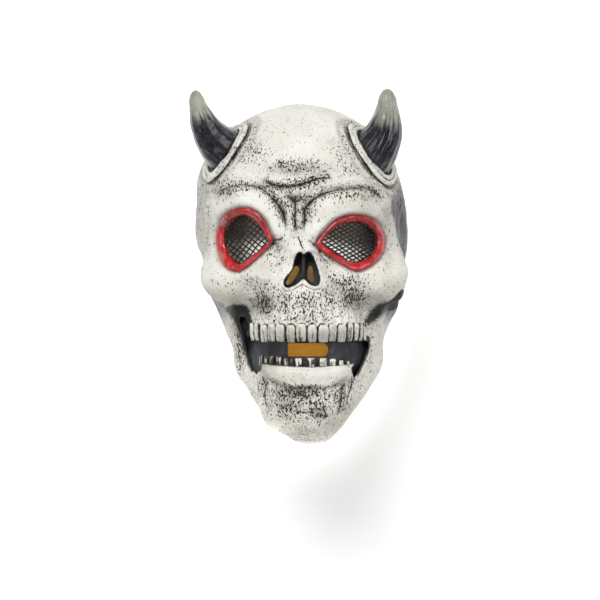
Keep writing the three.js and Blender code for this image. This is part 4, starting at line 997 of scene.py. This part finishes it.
for side, h in HORNS.items():
    fluted = side == "right"
    n, m = 120, 96
    t = 1 - (np.arange(1, n) / n) ** 1.35          # rows from tip to foot
    line = spline(h["line"], t)
    tan = np.gradient(line, axis=0); tan /= -np.linalg.norm(tan, axis=1)[:, None]
    sidev = np.cross([0, 0, 1.0], tan); sidev /= np.linalg.norm(sidev, axis=1)[:, None]
    upv = np.cross(tan, sidev)
    r = horn_radius(h, t)
    r = np.convolve(np.r_[r[:1], r, r[-1:]], [0.25, 0.5, 0.25], "valid")
    a = np.arange(m) / m * 2 * np.pi
    ring = np.cos(a)[None, :, None] * sidev[:, None] + np.sin(a)[None, :, None] * upv[:, None]
    base = line[:, None] + r[:, None, None] * ring
    w = base.reshape(-1, 3)
    aa, tt, rr = np.tile(a, n - 1), np.repeat(t, m), np.repeat(r, m)
    if fluted:
        flute = 0.42 * np.abs(np.sin(6.5 * aa + 1.2 * np.sin(3 * tt))) ** 0.6 + 0.22 * np.sin(17 * aa + 2 * np.sin(5 * tt)) - 0.45
    else:
        flute = 0.16 * np.sin(11 * aa + 3 * np.sin(4 * tt)) - 0.2
    rows_ = (lattice_noise(w, 8.0, 51) - 0.5) * 0.8 + (lattice_noise(w, 2.6, 52) - 0.5) * 0.35
    w = w + ring.reshape(-1, 3) * (np.minimum(flute + rows_, 0.25) * np.minimum(rr / 8, 1))[:, None]
    v, f = globe(w.reshape(n - 1, m, 3), spline(h["line"], 1.0)[0] - 0.3 * tan[0] * 0, line[-1] - 2 * tan[-1] * 0)
    horn = tidy(polygons("horn", v, f, (horn_material(fluted),)))
    floats(horn, along=np.r_[tt, 1.0, 0.0], round=np.r_[np.abs(aa / np.pi - 1), 0.5, 0.5])
    as_piece(finish_mesh(horn, 80), "horn_" + side, "mask_shell")

    out = np.asarray(h["out"], float); out /= np.linalg.norm(out)
    s1 = np.cross([0, 0, 1.0], out); s1 /= np.linalg.norm(s1); u1 = np.cross(out, s1)
    parts, dark = [], []
    for i, (gap, rad) in enumerate(((1.7, 2.15), (5.9, 2.45))):
        k = 168
        b = np.arange(k) / k * 2 * np.pi
        R = h["r"] + gap + 0.55 * np.sin(2 * b + 1 + i) + 0.35 * np.sin(5 * b + 2 * i)
        p = np.asarray(h["foot"], float) + np.cos(b)[:, None] * s1 * R[:, None] + np.sin(b)[:, None] * u1 * R[:, None]
        for _ in range(14):
            g = slope(*p.T).T
            p = p - out * (0.8 * (head(*p.T) - 0.5) / np.maximum(0.4, g @ out))[:, None]
        rad = rad * (1 + 0.10 * np.sin(3 * b + i) + 0.07 * np.sin(7 * b))
        tv, tf = tube(p, rad, 18, True, None, out)
        g = slope(*np.repeat(p, 18, 0).T).T
        away = tv - np.repeat(p, 18, 0); away /= np.linalg.norm(away, axis=1)[:, None]
        tv = tv + away * ((lattice_noise(tv, 6.0, 61 + i) - 0.5) * 0.9 + (lattice_noise(tv, 2.4, 63) - 0.5) * 0.35)[:, None]
        parts.append((tv, tf)); dark.append(np.sum(away * g, axis=1))
    v, f = gather(parts)
    dark = np.concatenate(dark)
    collar = tidy(polygons("collar", v, f, (BONE,)))
    # rings darker where they face into the head, and near-black under them: painted shade
    shade = 1 - ease((dark + 0.05) / 0.55)
    fleck = lattice_noise(v, 5.0, 65)
    floats(collar, wash=shade * 1.35 + 0.25 * ease((fleck - 0.45) / 0.3), speck=0.22 + 0.25 * fleck, black=ease((0.18 - dark) / 0.3) * 1.0, grey=0.0, warm=0.25, amber=0.0)
    as_piece(finish_mesh(collar, 80), "collar_" + side, "mask_shell")

# ------------------------------------------------------------------ teeth
def tooth(x, y, w, h, d, proud, upper, seed):
    z = float(front_of([x], [y])[0])
    g = slope(np.array([x]), np.array([y]), np.array([z]))[:, 0]
    yaw = math.atan2(g[0], max(0.35, g[2]))
    w = w / max(0.52, math.cos(yaw)) ** (0.9 if upper else 0.4)
    m, n = 28, 20
    a = np.arange(m) / m * 2 * np.pi
    ca, sa = np.cos(a), np.sin(a)
    s = np.linspace(0, 1, n + 1)[1:-1]
    rng = np.random.default_rng(seed)
    lean, bulge, chip, bulge2, ink = rng.uniform(-0.06, 0.06), rng.uniform(0.9, 1.1), rng.uniform(-0.7, 0.7), rng.uniform(0, 1), rng.uniform(0.15, 1.0)
    if upper:      # s = 0 at the root, 1 at the biting edge
        wide = np.interp(s, [0, 0.04, 0.10, 0.20, 0.4, 0.8, 0.96, 1], [0.30, 0.54, 0.76, 0.94, 1.0, 0.90, 0.80, 0.52])
        deep = np.interp(s, [0, 0.05, 0.12, 0.35, 0.75, 0.95, 1], [0.55, 0.88, 0.98, 1.0, 0.84, 0.62, 0.30])
    else:          # s = 0 at the biting edge, 1 at the gum
        wide = np.interp(s, [0, 0.07, 0.3, 0.8, 1], [0.60, 0.95, 1.0, 0.84, 0.5])
        deep = np.interp(s, [0, 0.08, 0.4, 0.9, 1], [0.35, 0.70, 0.95, 0.9, 0.5])
    e = 0.72
    px = np.sign(ca) * np.abs(ca) ** e
    pz = np.sign(sa) * np.abs(sa) ** e
    cleft = (0.05 + (0.20 if upper else 0.12) * s[:, None] ** 1.5) * (0.6 + 0.8 * bulge2)
    groove = np.exp(-0.5 * ((px[None] - 0.5 * chip) / cleft) ** 2) * (pz[None] > 0)
    if upper:
        second, force = rng.uniform(-0.75, 0.75), rng.uniform(0, 1)
        groove = np.maximum(groove, (1.0 if x > 26 else force) * np.exp(-0.5 * ((px[None] - second - 0.35 * (s[:, None] - 0.5) * np.sign(second)) / (0.5 * cleft)) ** 2) * (pz[None] > 0))
    X = wide[:, None] * px[None] * w / 2 + lean * w * s[:, None]
    Z = deep[:, None] * pz[None] * d / 2 * bulge
    Z = Z - 0.6 * groove * ease((s[:, None] - 0.12) / 0.5)
    Y = np.repeat((h / 2 - s * h)[:, None], m, 1)
    X = X + 0.0 * Y
    pts = np.stack([X * math.cos(yaw) + Z * math.sin(yaw), Y, -X * math.sin(yaw) + Z * math.cos(yaw)], -1)
    pts = pts + np.array([x, y, z + proud - d / 2])
    if upper:
        pts[..., 2] += (front_of(np.full(len(s), x), y + h / 2 - s * h) - z)[:, None]
    pts += ((lattice_noise(pts.reshape(-1, 3), 2.6, seed) - 0.5) * 0.5).reshape(n - 1, m, 1)
    v, f = globe(pts, pts[0].mean(0) + np.array([0, 0.02 * h, 0]), pts[-1].mean(0) - np.array([0, 0.02 * h, 0]))
    edge = np.abs(X) / (w / 2)
    # dark at the tooth's sides (painted shade between the teeth) and in the stained grooves
    gap = ease((edge / wide[:, None] - (0.79 if upper else 0.74)) / 0.20) * 0.88 + (0.95 * ink if upper else 0.4 * ink) * groove * ease((s[:, None] - 0.06) / 0.3)
    tall = (1 - s if upper else s)[:, None] + 0 * X
    return v, f, np.r_[gap.ravel(), 0.5, 0.6], np.r_[tall.ravel(), 1.0 if upper else 0.0, 0.0 if upper else 1.0]

parts, gaps, talls = [], [], []
for i in range(14):
    q = (i + 0.5) / 14 * 2 - 1
    x = 3.2 + 47.5 * math.sin(q * 1.28) / math.sin(1.28)
    w = 47.5 * 1.28 * math.cos(q * 1.28) / math.sin(1.28) * 2 / 14
    v, f, g, t = tooth(x + 0.35 * math.sin(i * 4.1), -73.0 + 1.4 * q * q + 0.5 * math.sin(i * 2.3), max(w * (1.04 + 0.10 * math.sin(i * 3.3)), 5.0), 17.0, 7.2, 2.5 - 0.5 * (i % 2), True, 100 + i)
    parts.append((v, f)); gaps.append(g + (0.12 if i > 8 else 0.0)); talls.append(t)
# lower teeth: middle, width, height of the biting edge (face grid), stain
LOWER = [(262.5, 5.0, 354.6, 0.62), (267.6, 5.2, 355.0, 0.46), (273.2, 5.6, 355.4, 0.62), (279.2, 6.2, 355.8, 0.42), (286.0, 6.6, 356.4, 0.58), (291.6, 4.4, 357.4, 0.80),
         (298.8, 8.8, 357.2, 0.30), (310.8, 10.2, 357.0, 0.36), (322.8, 9.4, 357.2, 0.30), (332.6, 7.8, 358.0, 0.14), (340.2, 5.6, 359.4, 0.22), (346.2, 5.0, 360.2, 0.34)]
for i, (u0, w0, v0, stain) in enumerate(LOWER):
    x, top = (u0 - 303) * CELL, (250 - v0) * CELL
    v, f, g, t = tooth(x, top - 5.1, w0 * CELL * 0.94, 10.2, 6, 0.9 + 0.3 * (w0 > 7), False, 140 + i)
    blot = lattice_noise(v * np.array([1, 1, 0.6]), 2.3, 171)
    parts.append((v, f)); gaps.append(g + stain + (0.46 if 290 < u0 < 328 else 0.26) * ease((blot - 0.48) / 0.26)); talls.append(np.maximum(t - 0.25, 0))
v, f = gather(parts)
teeth = tidy(polygons("teeth", v, f, (tooth_material(),)))
floats(teeth, gap=np.concatenate(gaps), tall=np.concatenate(talls))
as_piece(finish_mesh(teeth, 70), "teeth", "mask_shell")

# ------------------------------------------------------------------ gauze in the eyes
GAUZE = gauze_material()
PITCH = 3.9
for side in ("left", "right"):
    area = grown(to_mm(smooth_line(EYE_IN[side][::6], 8, True)), 5.2)
    c = area.mean(0)
    parts = []
    for way in (0, 1):
        ang = math.radians({"left": (50, -38), "right": (26, -36)}[side][way])
        d = np.array([math.cos(ang), math.sin(ang)]); o = np.array([-d[1], d[0]])
        pitch = PITCH if side == "left" else 3.3
        for k in range(-14, 15):
            s = np.arange(-48, 48.01, 0.8)
            xy = c + o * (k * pitch) + np.outer(s, d)
            xy += 0.25 * np.sin(xy[:, ::-1] * 0.35 + k)
            ok = is_inside(xy[:, 0], xy[:, 1], area)
            idx = np.nonzero(ok)[0]
            if len(idx) < 6:
                continue
            for run in np.split(idx, np.nonzero(np.diff(idx) > 1)[0] + 1):
                if len(run) < 6:
                    continue
                q = xy[run]
                z = front_of(q[:, 0], q[:, 1], -WALL - 1.15)
                z = z + (0.28 if (k + way) % 2 else -0.28) * np.cos(np.pi * s[run] / PITCH) * (1 if way == 0 else 1)
                parts.append(tube(np.c_[q, z], 0.72, 7))
    v, f = gather(parts)
    gauze = tidy(polygons("gauze", v, f, (GAUZE,)))
    as_piece(finish_mesh(gauze, 60), "gauze_" + side, "eye_mesh_" + side)

# ------------------------------------------------------------------ floor, lights, camera
floor_net = Net("pale_floor")
floor_net.set(color=floor_net.mix(floor_net.noise(3, 2), (0.93, 0.93, 0.93), (0.95, 0.95, 0.95)), rough=0.8, spec=0.1, emit=(1.0, 1.0, 1.0), emit_strength=0.31)
me = bpy.data.meshes.new("floor")
me.from_pydata([(-6, -6, 0), (6, -6, 0), (6, 6, 0), (-6, 6, 0)], [], [(0, 1, 2, 3)])
me.materials.append(floor_net.m)
floor = bpy.data.objects.new("floor", me)
bpy.context.scene.collection.objects.link(floor)
floor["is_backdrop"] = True

def area_light(name, place, aim, size, watts, tint=(1, 1, 1)):
    L = bpy.data.lights.new(name, "AREA")
    L.shape, L.size, L.energy, L.color = "DISK", size, watts, tint
    o = bpy.data.objects.new(name, L)
    o.location = place
    o.rotation_euler = (Vector(aim) - Vector(place)).to_track_quat("-Z", "Y").to_euler()
    o.visible_camera = False
    bpy.context.scene.collection.objects.link(o)
    return o

area_light("key", (-0.25, 0.75, 1.55), (0, 0, 0.15), 0.8, 17.5)
area_light("fill_right", (1.2, 0.1, 1.1), (0, 0, 0.12), 0.9, 6.2)
area_light("fill_left", (-1.2, -0.2, 1.1), (0, 0, 0.12), 0.9, 4)
area_light("low", (0.05, -1.0, 0.95), (0, -0.02, 0.1), 0.6, 1.4)
spot = bpy.data.lights.new("neck", "SPOT")
spot.energy, spot.spot_size, spot.spot_blend, spot.shadow_soft_size = 46, math.radians(16), 0.6, 0.05
spot = bpy.data.objects.new("neck", spot)
spot.location = (0.0, -0.62, 0.42)
spot.rotation_euler = (Vector((-0.010, -0.002, 0.0)) - Vector(spot.location)).to_track_quat("-Z", "Y").to_euler()
spot.visible_camera = False
bpy.context.scene.collection.objects.link(spot)

world = bpy.data.worlds.new("studio")
bpy.context.scene.world = world
world.use_nodes = True
bg = world.node_tree.nodes["Background"]
bg.inputs[0].default_value = (1, 1, 1, 1)
bg.inputs[1].default_value = 0.20
bpy.context.scene.view_settings.view_transform = "Standard"

cam = bpy.data.cameras.new("cam")
cam.sensor_width = 36
FAR = 6.0
cam.lens = 36 * FAR / 0.528
cam.clip_end = 50
camera = bpy.data.objects.new("cam", cam)
camera.location = (0.0005, -0.0300, 0.17 + FAR)
bpy.context.scene.collection.objects.link(camera)
bpy.context.scene.camera = camera

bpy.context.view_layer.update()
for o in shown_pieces():
    if o.type == "MESH":
        print(o.name, sum(len(p.vertices) - 2 for p in o.data.polygons), "triangles")
